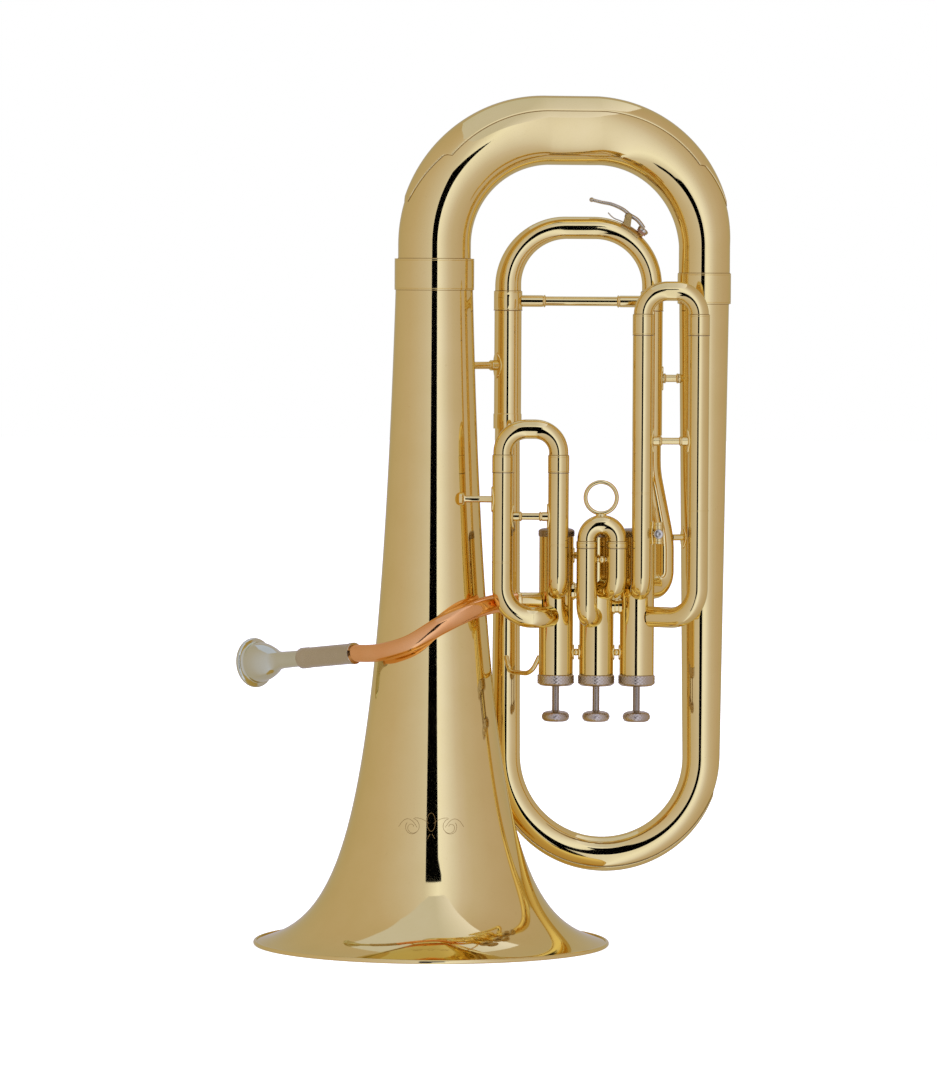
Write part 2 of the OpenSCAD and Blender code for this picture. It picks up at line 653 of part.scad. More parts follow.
// A beaded stay with a saddle on either casing
module casing_brace(i, z) {
    difference() {
        beaded_rod(valve_at(i)[0], valve_y, z, valve_pitch, 2.2);
        for (n = [i + 1, i + 2]) casing_plug(n);
    }
    for (e = [0, 1]) saddle_foot(valve_at(i + e)[0], valve_y, z, casing_r, 180 * e, 8.4, 10);
}

module casing_braces() {
    color(brass) for (b = [[0, 231], [0, 307], [1, 231]]) casing_brace(b[0], b[1]);
}

// ---------- valve slides ----------

slide_sleeve_wall = 0.5;
inner_r = sleeve_r - slide_sleeve_wall - fit;
knee = 24;                        // bend radius of the outer legs
elbow = 12;                       // bend radius of the inner legs

first_x = [54.3, 97.7];
second_x = [120.1, 143.6];
third_x = [163, 206.4];
first_top = 372.2;                // open ends of the sleeves
second_top = 313.6;
third_top = 479.6;

// A leg that comes straight down and turns through one bend into the casing of valve number
module valve_leg(x, top, port_z, bend, number) {
    to = valve_at(number - 1) - [x, slide_y];
    translate([x, slide_y, port_z]) rotate([0, 0, atan2(to[1], to[0])]) difference() {
        leg_rod(norm(to), top - port_z, bend, sleeve_r, 0);
        leg_rod(norm(to), top - port_z, bend, sleeve_r - slide_sleeve_wall, 1);
        translate([norm(to), 0, -60]) cylinder(r = casing_r + 0.02, h = 120);
    }
}

module leg_rod(run, rise, bend, r, extra) {
    translate([0, 0, bend]) cylinder(r = r, h = rise - bend + extra);
    translate([bend, 0, bend]) rotate([90, 0, 0]) rotate([0, 0, 180])
        rotate_extrude(angle = 90) translate([bend, 0]) circle(r = r);
    translate([bend, 0, 0]) rotate([0, 90, 0]) cylinder(r = r, h = run - bend);
}

// The first slide's outer leg: its sleeve, and below it a pipe that turns right and then back
module first_outer_leg() {
    joint_z = port_low_z + knee + 2;
    path = bent_path([[first_x[0], slide_y, joint_z - 0.05], [first_x[0], slide_y, port_low_z],
        [84.4, slide_y + 2.4, port_low_z], [valve_x, valve_y, port_low_z]], [knee, 11], 6, [-0.7, 0.7, 0.1]);
    straight_tube(first_x[0], slide_y, joint_z, first_top, sleeve_r, slide_sleeve_wall);
    difference() {
        swept_tube(path, [for (s = path) sleeve_r - 0.1], slide_sleeve_wall, 20);
        casing_plug(1);
    }
}

module first_slide_sleeves() {
    color(brass) {
        first_outer_leg();
        valve_leg(first_x[1], first_top, port_high_z, elbow, 1);
    }
}

module second_slide_sleeves() {
    color(brass) {
        valve_leg(second_x[0], second_top, port_low_z, elbow, 2);
        valve_leg(second_x[1], second_top, port_high_z, elbow, 2);
    }
}

module third_slide_sleeves() {
    color(brass) {
        valve_leg(third_x[0], third_top, port_high_z, elbow, 3);
        valve_leg(third_x[1], third_top, port_low_z, knee, 3);
    }
}

// The sliding half of a valve slide: crook, inner tubes and ferrules
module slide_crook(x, z, top, bend) {
    difference() {
        u_rod(x, slide_y, z, top, bend, crook_r);
        u_rod(x, slide_y, z - 1, top, bend, crook_r - 0.5);
    }
}

module slide_inner_tubes(x, sleeve_top, length) {
    for (leg = x) straight_tube(leg, slide_y, sleeve_top - length, sleeve_top + 4, inner_r, 0.45);
}

module slide_ferrules(x, sleeve_top, height) {
    for (leg = x) translate([leg, slide_y, sleeve_top + lip]) rotate_extrude() polygon([
        [inner_r + 0.02, 0], [sleeve_r + 0.1, 0], [sleeve_r + 0.25, 0.4],
        [sleeve_r + 0.25, height - 0.5], [sleeve_r, height], [crook_r + 0.02, height],
        [crook_r + 0.02, 4.4], [inner_r + 0.02, 4.4]]);
}

first_crook_z = first_top + lip + 4.6;
second_bend = 11.4;
second_crown_z = 332.4;
third_crook_z = third_top + lip + 4.6;

module first_slide_crook() { color(brass) slide_crook(first_x, first_crook_z, 406.5, 18.5); }
module first_slide_inner_tubes() { color(nickel) slide_inner_tubes(first_x, first_top, 78); }
module first_slide_ferrules() { color(brass) slide_ferrules(first_x, first_top, 13.8); }

module second_slide_crook() {
    color(brass) slide_crook(second_x, second_top + lip + 4.6, second_crown_z, second_bend);
}
module second_slide_inner_tubes() { color(nickel) slide_inner_tubes(second_x, second_top, 19); }
module second_slide_ferrules() { color(brass) slide_ferrules(second_x, second_top, 5.4); }

module third_slide_crook() { color(brass) slide_crook(third_x, third_crook_z, 514.4, 18.5); }
module third_slide_inner_tubes() { color(nickel) slide_inner_tubes(third_x, third_top, 120); }
module third_slide_ferrules() { color(brass) slide_ferrules(third_x, third_top, 16.4); }

ring_centre = [131, slide_y, 353.4];
module pull_ring() {
    color(brass) difference() {
        translate(ring_centre) {
            rotate([90, 0, 0]) rotate_extrude() translate([12.2, 0]) circle(r = 1.6);
            translate([0, 0, -16]) cylinder(r1 = 4, r2 = 2.4, h = 4);
        }
        translate([(second_x[0] + second_x[1]) / 2, slide_y, second_crown_z - second_bend]) rotate([90, 0, 0])
            rotate_extrude() translate([second_bend, 0]) circle(r = crook_r + 0.02);
    }
}

// A stay between the two sleeves of a slide, with a saddle on each sleeve
module saddle_foot(x, y, z, r, side, width, height) {
    intersection() {
        straight_tube(x, y, z - height / 2, z + height / 2, r + 1, 0.95);
        translate([x, y, z]) rotate([0, 0, side]) rotate([0, 90, 0])
            linear_extrude(r + 5) polygon([for (a = [0:20:340]) [height / 2 * cos(a), width / 2 * sin(a)]]);
    }
}

module slide_brace(x, z, rod_r, socket_r, socket_len) {
    difference() {
        stay([x[0] + sleeve_r - 0.5, slide_y, z], [x[1] - sleeve_r + 0.5, slide_y, z],
            rod_r, socket_r, socket_len);
        for (leg = x) translate([leg, slide_y, z - 20]) cylinder(r = sleeve_r + 0.03, h = 40);
    }
    saddle_foot(x[0], slide_y, z, sleeve_r, 0, 10, 17);
    saddle_foot(x[1], slide_y, z, sleeve_r, 180, 10, 17);
}

module slide_braces() {
    color(brass) {
        slide_brace(first_x, 338.5, 2.7, 3.6, 7);
        slide_brace(third_x, 397.7, 2.7, 3.6, 7);
        difference() {
            beaded_rod(second_x[0], slide_y, 305, second_x[1] - second_x[0], 1.5);
            for (leg = second_x) translate([leg, slide_y, 290]) cylinder(r = sleeve_r + 0.03, h = 40);
        }
    }
}

// ---------- leadpipe, receiver and mouthpiece ----------

lead_points = [[-60.5, -20.5, 230.1], [-41.5, -39, 232], [-18, -53, 239.5], [6, -55.5, 254],
    [30, -44, 265.2], [50, -19.5, 269.6], [66, -9.6, 270]];
lead_path = spline_path(lead_points, 3);
lead_radii = [6.4, 6.9, 7.5];
socket_dir = [valve_x - lead_points[6][0], valve_y - lead_points[6][1], 0];

module leadpipe() {
    color(copper) difference() {
        swept_tube(lead_path, [for (s = lead_path) blend3(lead_radii, s[3])], 0.7, 22);
        // trimmed square to the socket
        along(lead_points[6] - 0.5 * unit(socket_dir), socket_dir) cylinder(r = 12, h = 10);
    }
}

module leadpipe_socket() {
    color(brass) difference() {
        along(lead_points[6], socket_dir) rotate_extrude() polygon([[6.9, 0.1], [7.9, 0.1],
            [8.3, 0.6], [8.3, 2.6], [7.9, 3], [7.9, 30], [6.9, 30]]);
        casing_plug(1);
    }
}

receiver_dir = [-cos(receiver_bearing) * cos(receiver_dip),
    sin(receiver_bearing) * cos(receiver_dip), -sin(receiver_dip)];
receiver_start = lead_points[0] + receiver_dir * 0.1;
shank_in = 24;                    // how far the mouthpiece shank sits in the receiver
taper = 0.025;                    // growth in radius of the shank per millimetre
shank_tip_r = 5.05;
shank_r = shank_tip_r + shank_in * taper;

module mouthpiece_receiver() {
    L = receiver_len;
    color(nickel) along(receiver_start, receiver_dir) rotate_extrude() polygon([
        [5.7, 0], [8, 0], [8, 4], [7.5, 5], [7.3, L - 9], [7.6, L - 7.5], [7.6, L - 0.6], [7.1, L],
        [shank_r + fit, L], [shank_tip_r + fit, L - shank_in], [4.6, L - shank_in - 1]]);
}

mouthpiece_len = 58;              // from the receiver's end to the face of the rim
module mouthpiece() {
    R = mouthpiece_rim_r;
    M = mouthpiece_len;
    cup = [for (a = [0:10:90]) [12.6 * cos(a) + 0.2, M - 2.5 - 21 * sin(a)]];
    color(silver) along(receiver_start + receiver_dir * receiver_len, receiver_dir)
        rotate_extrude() polygon(concat(
            [[3.4, -shank_in], [shank_tip_r, -shank_in], [shank_r, 0], [shank_r + 0.3, 16],
             [6.3, 25], [7.6, 30], [10, 35], [11.5, 38], [13.6, 43], [15.2, 47.5], [15.9, 51.8]],
            [for (a = [-60:20:80]) [R - 3.4 + 3.4 * cos(a), M - 2.8 + 2.6 * sin(a)]],
            [[R - 4.4, M], [R - 5.6, M - 0.8]],
            [for (i = [0:8]) cup[i]], [[3.9, M - 25.6], [3.2, M - 28], [3.2, 0]]));
}

// ---------- braces, hook and lyre socket ----------

upper_brace_z = 455;
lower_brace_z = 351.7;
small_bearing = atan2(branch_y, small_x);
module bell_braces() {
    socket_at = norm([small_x, branch_y]) - tuning_left_r - 6.5;
    color(brass) {
        difference() {
            union() {
                rod([0, 0, upper_brace_z], [small_x, branch_y, upper_brace_z], 2.9);
                along([socket_at * cos(small_bearing), socket_at * sin(small_bearing), upper_brace_z],
                    [small_x, branch_y, 0]) cylinder(r = 4.1, h = 4);
            }
            translate([0, 0, upper_brace_z - 20]) cylinder(r = bell_r(upper_brace_z) + 0.4, h = 40);
            translate([small_x, branch_y, upper_brace_z - 20]) cylinder(r = tuning_left_r + 0.03, h = 40);
        }
        saddle_foot(small_x, branch_y, upper_brace_z, tuning_left_r, 180 + small_bearing, 12, 19);
        difference() {
            union() {
                rod([20.5, -28, lower_brace_z], [first_x[0], slide_y, lower_brace_z], 2.6);
                along([20.3, -29.7, lower_brace_z], [33, -4.3, 0]) cylinder(r = 5.2, h = 3);
            }
            translate([0, 0, lower_brace_z - 20]) cylinder(r = bell_r(lower_brace_z) + 0.4, h = 40);
            translate([first_x[0], slide_y, lower_brace_z - 20]) cylinder(r = sleeve_r + 0.03, h = 40);
        }
        saddle_foot(first_x[0], slide_y, lower_brace_z, sleeve_r, 180, 10, 18);
        // post between the leadpipe and the bell
        difference() {
            rod([-30, -28.5, 231], [-42.2, -40, 231.6], 3.4);
            translate([0, 0, 220]) cylinder(r = bell_r(228) + 0.4, h = 30);
            rod([-51, -29.6, 231], [-34, -45.7, 233], 6.75);
        }
    }
}

module branch_braces() {
    z1 = 445.3;
    z2 = 320;
    r1 = lerp(branch_radii[1], branch_radii[0], (z1 - bottom_spring_z) / 370);
    r2 = lerp(branch_radii[1], branch_radii[0], (z2 - bottom_spring_z) / 370);
    outlet = [outlet_corner[0], outlet_corner[1], z2];
    color(brass) {
        difference() {
            stay([tuning_right_x + 7, branch_y, z1], [branch_x - r1 + 1, branch_y, z1], 2.9, 3.7, 3);
            translate([tuning_right_x, branch_y, z1 - 20]) cylinder(r = tuning_right_r + 0.03, h = 40);
            translate([branch_x, branch_y, z1 - 20]) cylinder(r = r1 + 0.3, h = 40);
        }
        saddle_foot(tuning_right_x, branch_y, z1, tuning_right_r, 0, 9, 17);
        difference() {
            rod(outlet, [branch_x, branch_y, z2], 2.5);
            translate([outlet[0], outlet[1], z2 - 20]) cylinder(r = 8, h = 40);
            translate([branch_x, branch_y, z2 - 20]) cylinder(r = r2 + 0.3, h = 40);
        }
        saddle_foot(branch_x, branch_y, z2, r2 + 0.3,
            180 + atan2(branch_y - outlet[1], branch_x - outlet[0]), 10, 18);
    }
}

// Wire loop for the thumb, from the first casing to the small branch
module thumb_hook() {
    path = bent_path([[valve_x - casing_r + 1.5, valve_y, 227.5], [77.5, -2.5, 213.6],
        [60.5, 18.5, 213.6], [small_x, branch_y - 10, 225]], [12, 12], 6, [0.79, 0.61, 0]);
    color(brass) difference() {
        capped_skin([for (s = path) loop(s, 1.9, 10)]);
        casing_plug(1);
        translate([small_x, branch_y, 200]) cylinder(r = 11.05, h = 60);
    }
}

lyre_hole = [third_x[0] + 12.6, slide_y + 1];
module lyre_socket() {
    color(brass) difference() {
        union() {
            translate([lyre_hole[0], lyre_hole[1], 317.5]) cylinder(r = 4.4, h = 17);
            translate([third_x[0] + 4, lyre_hole[1] - 3, 317.5]) cube([9, 6, 17]);
            translate([lyre_hole[0], lyre_hole[1] - 3, 325.6]) rotate([90, 0, 0]) cylinder(r = 3.2, h = 4);
        }
        translate([lyre_hole[0], lyre_hole[1], 310]) cylinder(r = 2.8, h = 40);
        translate([third_x[0], slide_y, 300]) cylinder(r = sleeve_r + 0.02, h = 60);
        translate([lyre_hole[0], lyre_hole[1], 325.6]) rotate([90, 0, 0]) cylinder(r = 1.55, h = 20);
    }
}

module lyre_screw() {
    color(nickel) translate([lyre_hole[0], lyre_hole[1] - 3.2, 325.6]) rotate([90, 0, 0]) {
        cylinder(r = 1.5, h = 6);
        translate([0, 0, 4.1]) cylinder(r = 4, h = 4.4);
    }
}

bell();
bell_rim_bead();
bell_ferrule();
top_bow();
top_bow_guard();
branch_ferrule();
big_branch();
bottom_bow();
bottom_bow_guard();
small_branch();
tuning_sleeves();
valve_outlet_tube();
valve_casing_1();
valve_casing_2();
valve_casing_3();
top_caps();
bottom_caps();
cap_felts();
valve_knuckles();
casing_braces();
first_slide_sleeves();
second_slide_sleeves();
third_slide_sleeves();
slide_braces();
leadpipe();
leadpipe_socket();
mouthpiece_receiver();
bell_braces();
branch_braces();
thumb_hook();
lyre_socket();
valve_spring_1();
valve_spring_2();
valve_spring_3();
tuning_crook();
tuning_inner_tubes();
tuning_ferrules();
tuning_brace();
water_key_saddle();
water_key();
water_key_cork();
water_key_spring();
first_slide_crook();
first_slide_inner_tubes();
first_slide_ferrules();
second_slide_crook();
second_slide_inner_tubes();
second_slide_ferrules();
pull_ring();
third_slide_crook();
third_slide_inner_tubes();
third_slide_ferrules();
piston_1();
piston_2();
piston_3();
finger_button_1();
finger_button_2();
finger_button_3();
mouthpiece();
lyre_screw();
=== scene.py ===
"""Looks of a three-valve euphonium that stands on the rim of its bell.

Lengths in this script are millimetres in the part's own frame, and Shell.piece() turns them into
metres. Places come from the CAD nodes' boxes; the few sizes a box can't give are named below.
"""

import bpy
import bmesh
from math import atan2, ceil, cos, degrees, hypot, log, pi, radians, sin, tan
from mathutils import Matrix, Vector


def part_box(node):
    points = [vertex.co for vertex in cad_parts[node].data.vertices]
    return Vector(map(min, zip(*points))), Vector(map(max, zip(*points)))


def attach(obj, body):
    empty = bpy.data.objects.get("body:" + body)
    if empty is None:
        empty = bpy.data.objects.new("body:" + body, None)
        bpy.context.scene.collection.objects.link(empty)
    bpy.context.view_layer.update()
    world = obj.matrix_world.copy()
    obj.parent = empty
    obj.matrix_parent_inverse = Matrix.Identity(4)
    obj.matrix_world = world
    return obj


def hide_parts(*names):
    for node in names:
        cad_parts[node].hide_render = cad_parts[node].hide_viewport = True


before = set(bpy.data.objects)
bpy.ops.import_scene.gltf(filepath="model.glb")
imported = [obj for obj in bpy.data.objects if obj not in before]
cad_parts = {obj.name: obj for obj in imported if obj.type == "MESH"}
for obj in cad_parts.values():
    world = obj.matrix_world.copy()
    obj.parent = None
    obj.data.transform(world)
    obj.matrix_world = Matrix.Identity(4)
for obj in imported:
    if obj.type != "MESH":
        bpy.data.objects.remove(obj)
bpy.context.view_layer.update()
MM = 0.001
UP = Vector((0, 0, 1))


# ---------- places and sizes, taken from the frame ----------

def box(node):
    lo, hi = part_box(node)
    return lo / MM, hi / MM


def middle(node):
    lo, hi = box(node)
    return (lo + hi) / 2


def half_width(node):
    lo, hi = box(node)
    return (hi.x - lo.x) / 2


def height_span(node):
    lo, hi = box(node)
    return lo.z, hi.z


SMALL = middle("small_branch")
BRANCH = middle("big_branch")
VALVES = [middle(f"valve_casing_{n}") for n in (1, 2, 3)]
CASING_R = half_width("valve_casing_1")
CASING_Z = height_span("valve_casing_1")
SLEEVE_R = 8.1                 # valve slide sleeves
CROOK_R = 7.55                 # valve slide crooks
SLIDES = {}
for slide in ("first", "second", "third"):
    low, high = box(f"{slide}_slide_crook")
    sleeve_top = box(f"{slide}_slide_ferrules")[0].z - 0.3
    SLIDES[slide] = {
        "x": (low.x + CROOK_R, high.x - CROOK_R), "y": (low.y + high.y) / 2, "top": sleeve_top,
        "crown": high.z - CROOK_R, "crook_z": low.z, "ferrule_z": height_span(f"{slide}_slide_ferrules")}
SLIDE_Y = SLIDES["first"]["y"]
BELL_R = half_width("bell_rim_bead")
BELL_TOP = box("bell")[1].z
BELL_THROAT_R, BELL_FLARE, BELL_REACH, BELL_CONE = 30.2, 28.0, 4.8, 0.026
BEAD_R = 1.75
TUNING_RIGHT_X = box("tuning_ferrules")[1].x - 9.0
TUNING_LEFT_R, TUNING_RIGHT_R = 10.7, 8.6
OUTLET_XY, OUTLET_R = (182, 24), 7.9
TUNING_SLEEVE_TOP = box("tuning_sleeves")[1].z
TUNING_SPRING_Z, TUNING_BEND_R, TUNING_RADII = 518.0, 45.7, (10.3, 8.8, 7.85)
TOP_SPRING_Z, TOP_BEND_R, TOP_RADII = 550.0, 89.4, (28.5, 26.6, 20.2)
BOTTOM_RADII = (11.5, 13.3, 14.9)
BOTTOM_SPRING_Z = box("bottom_bow")[1].z
PORT_HIGH_Z, PORT_LOW_Z, KNEE, ELBOW = 281.3, 259.4, 24.0, 12.0


# ---------- paths: lists of (point, tangent, share of the turning so far) ----------

STRAIGHT_STEP = 9.0            # the longest stretch between two points on a straight


def fine(a, b):
    """Evenly spaced points on the straight from a to b, without a."""
    n = max(1, ceil((b - a).length / STRAIGHT_STEP))
    return [a.lerp(b, i / n) for i in range(1, n + 1)]


def bent(corners, bends, degrees_per_step=3.0):
    """A path along the corners, each rounded to its bend radius."""
    p = [Vector(c) for c in corners]
    d = [(b - a).normalized() for a, b in zip(p, p[1:])]
    turns = [a.angle(b) for a, b in zip(d, d[1:])]
    total, done = max(sum(turns), 1e-9), 0.0
    path = [(p[0], d[0], 0.0)]
    for i, (turn, bend) in enumerate(zip(turns, bends)):
        start = p[i + 1] - d[i] * bend * tan(turn / 2)
        path += [(q, d[i], done / total) for q in fine(path[-1][0], start)]
        inward = (d[i + 1] - d[i] * d[i].dot(d[i + 1])).normalized()
        steps = max(4, ceil(degrees(turn) / degrees_per_step))
        for k in range(1, steps + 1):
            a = turn * k / steps
            tangent = cos(a) * d[i] + sin(a) * inward
            point = start + bend * (sin(a) * d[i] + (1 - cos(a)) * inward)
            path.append((point, tangent, (done + a) / total))
        done += turn
    return path + [(q, d[-1], 1.0) for q in fine(path[-1][0], p[-1])]


def u_path(x, y, z, crown, bend):
    """Up the leg at x[0], over the crown and down the leg at x[1]."""
    return bent([(x[0], y, z), (x[0], y, crown), (x[1], y, crown), (x[1], y, z)], (bend, bend))


def spline(points, per_stretch):
    """A Catmull-Rom curve through the points."""
    p = [Vector(q) for q in points]
    out = []
    for i in range(len(p) - 1):
        a, b, c, d = p[max(i - 1, 0)], p[i], p[i + 1], p[min(i + 2, len(p) - 1)]
        for k in range(per_stretch + (i == len(p) - 2)):
            t = k / per_stretch
            out.append(0.5 * (2 * b + (c - a) * t + (2 * a - 5 * b + 4 * c - d) * t * t
                              + (3 * b - a - 3 * c + d) * t ** 3))
    last = len(out) - 1
    tangents = [(out[min(i + 1, last)] - out[max(i - 1, 0)]).normalized() for i in range(last + 1)]
    return [(q, t, i / last) for i, (q, t) in enumerate(zip(out, tangents))]


def parabola(values):
    """The parabola through three values at 0, 0.5 and 1."""
    a, b, c = values
    return lambda s: a * (1 - s) * (1 - 2 * s) + b * 4 * s * (1 - s) + c * s * (2 * s - 1)


def placed(origin, direction=UP):
    """Moves the origin to a point and turns the Z axis along the direction."""
    z = Vector(direction).normalized()
    x = (UP if abs(z.z) < 0.9 else Vector((0, 1, 0))).cross(z).normalized()
    turned = Matrix((x, z.cross(x), z)).transposed().to_4x4()
    return Matrix.Translation(Vector(origin)) @ turned


def upright(x, y):
    return placed((x, y, 0))


# ---------- meshes ----------

class Shell:
    """Collects the closed surfaces of one piece."""

    def __init__(self):
        self.verts, self.faces = [], []

    def rings(self, rings, closed=False, caps=True):
        """Skins rings of equal length; closed joins the last ring to the first."""
        n, base = len(rings[0]), len(self.verts)
        for ring in rings:
            self.verts += [Vector(v) for v in ring]
        m = len(rings)
        for i in range(m if closed else m - 1):
            a, b = base + i * n, base + (i + 1) % m * n
            self.faces += [(a + k, b + k, b + (k + 1) % n, a + (k + 1) % n) for k in range(n)]
        if caps and not closed:
            self.faces.append(tuple(range(base, base + n)))
            self.faces.append(tuple(range(base + (m - 1) * n, base + m * n))[::-1])
        return self

    def lathe(self, profile, place=None, sides=96, closed=True, ripple=None):
        """Turns a profile of (radius, height) points; ripple(angle, height, row) adds to a radius."""
        place = place or Matrix.Identity(4)
        rings = []
        for i, (r, h) in enumerate(profile):
            ring = []
            for k in range(sides):
                a = 2 * pi * k / sides
                rr = r + (ripple(a, h, i) if ripple and r > 0.01 else 0)
                ring.append(place @ Vector((rr * cos(a), rr * sin(a), h)))
            rings.append(ring)
        return self.rings(rings, closed=closed, caps=False)

    def tube(self, path, radius, wall=None, sides=48, squash=1.0):
        """Sweeps a round section along a path; radius is a number or a function of the share."""
        at = radius if callable(radius) else (lambda s: radius)
        frames, u = [], None
        for point, tangent, share in path:
            if u is None:
                ref = Vector((0, 1, 0)) if abs(tangent.y) < 0.9 else Vector((1, 0, 0))
                u = (ref - tangent * ref.dot(tangent)).normalized()
            else:
                u = (u - tangent * u.dot(tangent)).normalized()
            frames.append((point, u, tangent.cross(u), share))

        def ring(f, shrink):
            point, a, b, share = f
            r = at(share) - shrink
            return [point + r * (squash * cos(t) * a + sin(t) * b)
                    for t in (2 * pi * k / sides for k in range(sides))]

        outer = [ring(f, 0) for f in frames]
        if wall is None:
            return self.rings(outer)
        return self.rings(outer + [ring(f, wall) for f in reversed(frames)], closed=True)

    def saddle(self, x, y, z, r, bearing, width, height):
        """A thin pointed foot bent round a vertical tube of radius r."""
        thick, power, sides, sunk = 0.9, 1.5, 48, -0.3
        rings = []
        for scale, lift in ((0.0, sunk), (1.0, sunk), (1.0, 0.45 * thick), (0.97, 0.8 * thick),
                            (0.9, thick), (0.5, thick), (0.0, thick)):
            ring = []
            for k in range(sides):
                a = 2 * pi * k / sides
                c, s = cos(a), sin(a)
                reach = scale * (abs(c) ** power + abs(s) ** power) ** (-1 / power)
                turn = radians(bearing) + reach * c * width / 2 / r
                ring.append((x + (r + lift) * cos(turn), y + (r + lift) * sin(turn),
                             z + reach * s * height / 2))
            rings.append(ring)
        return self.rings(rings, caps=False)

    def piece(self, name, material, body, nodes=(), slot="lacquered_brass", sharp=32):
        """Makes the object: welded, smooth up to the sharp angle, riding body in place of nodes."""
        mesh = bpy.data.meshes.new(name)
        mesh.from_pydata([v * MM for v in self.verts], [], self.faces)
        bm = bmesh.new()
        bm.from_mesh(mesh)
        bmesh.ops.remove_doubles(bm, verts=bm.verts, dist=2e-7)
        bmesh.ops.dissolve_degenerate(bm, edges=bm.edges, dist=1e-7)
        bmesh.ops.recalc_face_normals(bm, faces=bm.faces)
        bm.to_mesh(mesh)
        bm.free()
        for polygon in mesh.polygons:
            polygon.use_smooth = True
        mesh.set_sharp_from_angle(angle=radians(sharp))
        obj = bpy.data.objects.new(name, mesh)
        bpy.context.scene.collection.objects.link(obj)
        mesh.materials.append(material)
        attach(obj, body)
        if nodes:
            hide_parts(*nodes)
        return obj


def arc(cx, cy, r, a0, a1, n):
    """Points of an arc in a profile, from a0 to a1 in degrees."""
    angles = [radians(a0 + (a1 - a0) * k / n) for k in range(n + 1)]
    return [(cx + r * cos(a), cy + r * sin(a)) for a in angles]


def ring_profile(r_in, r_out, z0, z1, edge=0.3):
    """The section of a sleeve with rounded outer edges."""
    return ([(r_in, z0), (r_out - edge, z0)] + arc(r_out - edge, z0 + edge, edge, -90, 0, 3)[1:]
            + arc(r_out - edge, z1 - edge, edge, 0, 90, 3) + [(r_in, z1)])


def sleeve_profile(r_in, r_out, z0, z1, groove=0.16):
    """A ferrule: a sleeve with a fine groove turned just inside each edge."""
    line = [(z0 + 1.1, 0), (z0 + 1.3, groove), (z0 + 1.5, 0),
            (z1 - 1.5, 0), (z1 - 1.3, groove), (z1 - 1.1, 0)]
    plain_ring = ring_profile(r_in, r_out, z0, z1)
    return plain_ring[:5] + [(r_out - cut, z) for z, cut in line] + plain_ring[5:]


def smooth_profile(points, per_stretch):
    """A profile with a Catmull-Rom curve through its points."""
    path = spline([(r, 0, h) for r, h in points], per_stretch)
    return [(max(q.x, 0.0), q.z) for q, _, _ in path]


# ---------- materials ----------

def new_material(name):
    material = bpy.data.materials.new(name)
    material.use_nodes = True
    nodes, links = material.node_tree.nodes, material.node_tree.links
    return material, nodes, links, nodes["Principled BSDF"]


def noise(nodes, links, scale, detail, rough=0.55):
    """Noise in object coordinates; scale is in features per metre."""
    where = nodes.new("ShaderNodeTexCoord")
    texture = nodes.new("ShaderNodeTexNoise")
    texture.inputs["Scale"].default_value = scale
    texture.inputs["Detail"].default_value = detail
    texture.inputs["Roughness"].default_value = rough
    links.new(where.outputs["Object"], texture.inputs["Vector"])
    return texture.outputs["Fac"]


def spread(nodes, links, value, low, high, from_low=0.3, from_high=0.7):
    """Maps a noise value to a range."""
    node = nodes.new("ShaderNodeMapRange")
    for name, number in (("From Min", from_low), ("From Max", from_high),
                         ("To Min", low), ("To Max", high)):
        node.inputs[name].default_value = number
    links.new(value, node.inputs["Value"])
    return node.outputs["Result"]


def mix_colours(nodes, links, factor, a, b):
    node = nodes.new("ShaderNodeMix")
    node.data_type = "RGBA"
    links.new(factor, node.inputs["Factor"])
    colour_a, colour_b, mixed = node.inputs[6], node.inputs[7], node.outputs[2]
    for socket, colour in ((colour_a, a), (colour_b, b)):
        if isinstance(colour, tuple):
            socket.default_value = (*colour, 1)
        else:
            links.new(colour, socket)
    return mixed


def add_bump(nodes, links, bsdf, layers):
    """Stacks bump layers of (height, strength, distance in metres)."""
    previous = None
    for height, strength, distance in layers:
        bump = nodes.new("ShaderNodeBump")
        bump.inputs["Strength"].default_value = strength
        bump.inputs["Distance"].default_value = distance
        links.new(height, bump.inputs["Height"])
        if previous:
            links.new(previous, bump.inputs["Normal"])
        previous = bump.outputs["Normal"]
    links.new(previous, bsdf.inputs["Normal"])


GRAIN, WAVE = 0.004, 0.008     # strengths of the hairline grain and of the hand-worked waves


def metal(name, tone, deep, stain, rough, edge=(1, 1, 1), coat=0.0):
    """Polished metal: mottled tone, stains in spots, hairline grain and slight hand-worked waves."""
    material, nodes, links, bsdf = new_material(name)
    mottle = spread(nodes, links, noise(nodes, links, 28, 4), 0.0, 1.0)
    spots = spread(nodes, links, noise(nodes, links, 190, 5, rough=0.7), 0.0, 0.55, 0.66, 0.8)
    colour = mix_colours(nodes, links, mottle, tone, deep)
    colour = mix_colours(nodes, links, spots, colour, stain)
    links.new(colour, bsdf.inputs["Base Color"])
    bsdf.inputs["Metallic"].default_value = 1.0
    smears = noise(nodes, links, 75, 4, rough=0.6)
    links.new(spread(nodes, links, smears, rough * 0.75, rough * 1.4), bsdf.inputs["Roughness"])
    bsdf.inputs["Coat Weight"].default_value = coat
    bsdf.inputs["Coat Roughness"].default_value = 0.04
    bsdf.inputs["Specular Tint"].default_value = (*edge, 1)
    add_bump(nodes, links, bsdf, (
        (noise(nodes, links, 22, 1), WAVE, 0.002),
        (noise(nodes, links, 2600, 2), GRAIN, 0.0002)))
    return material


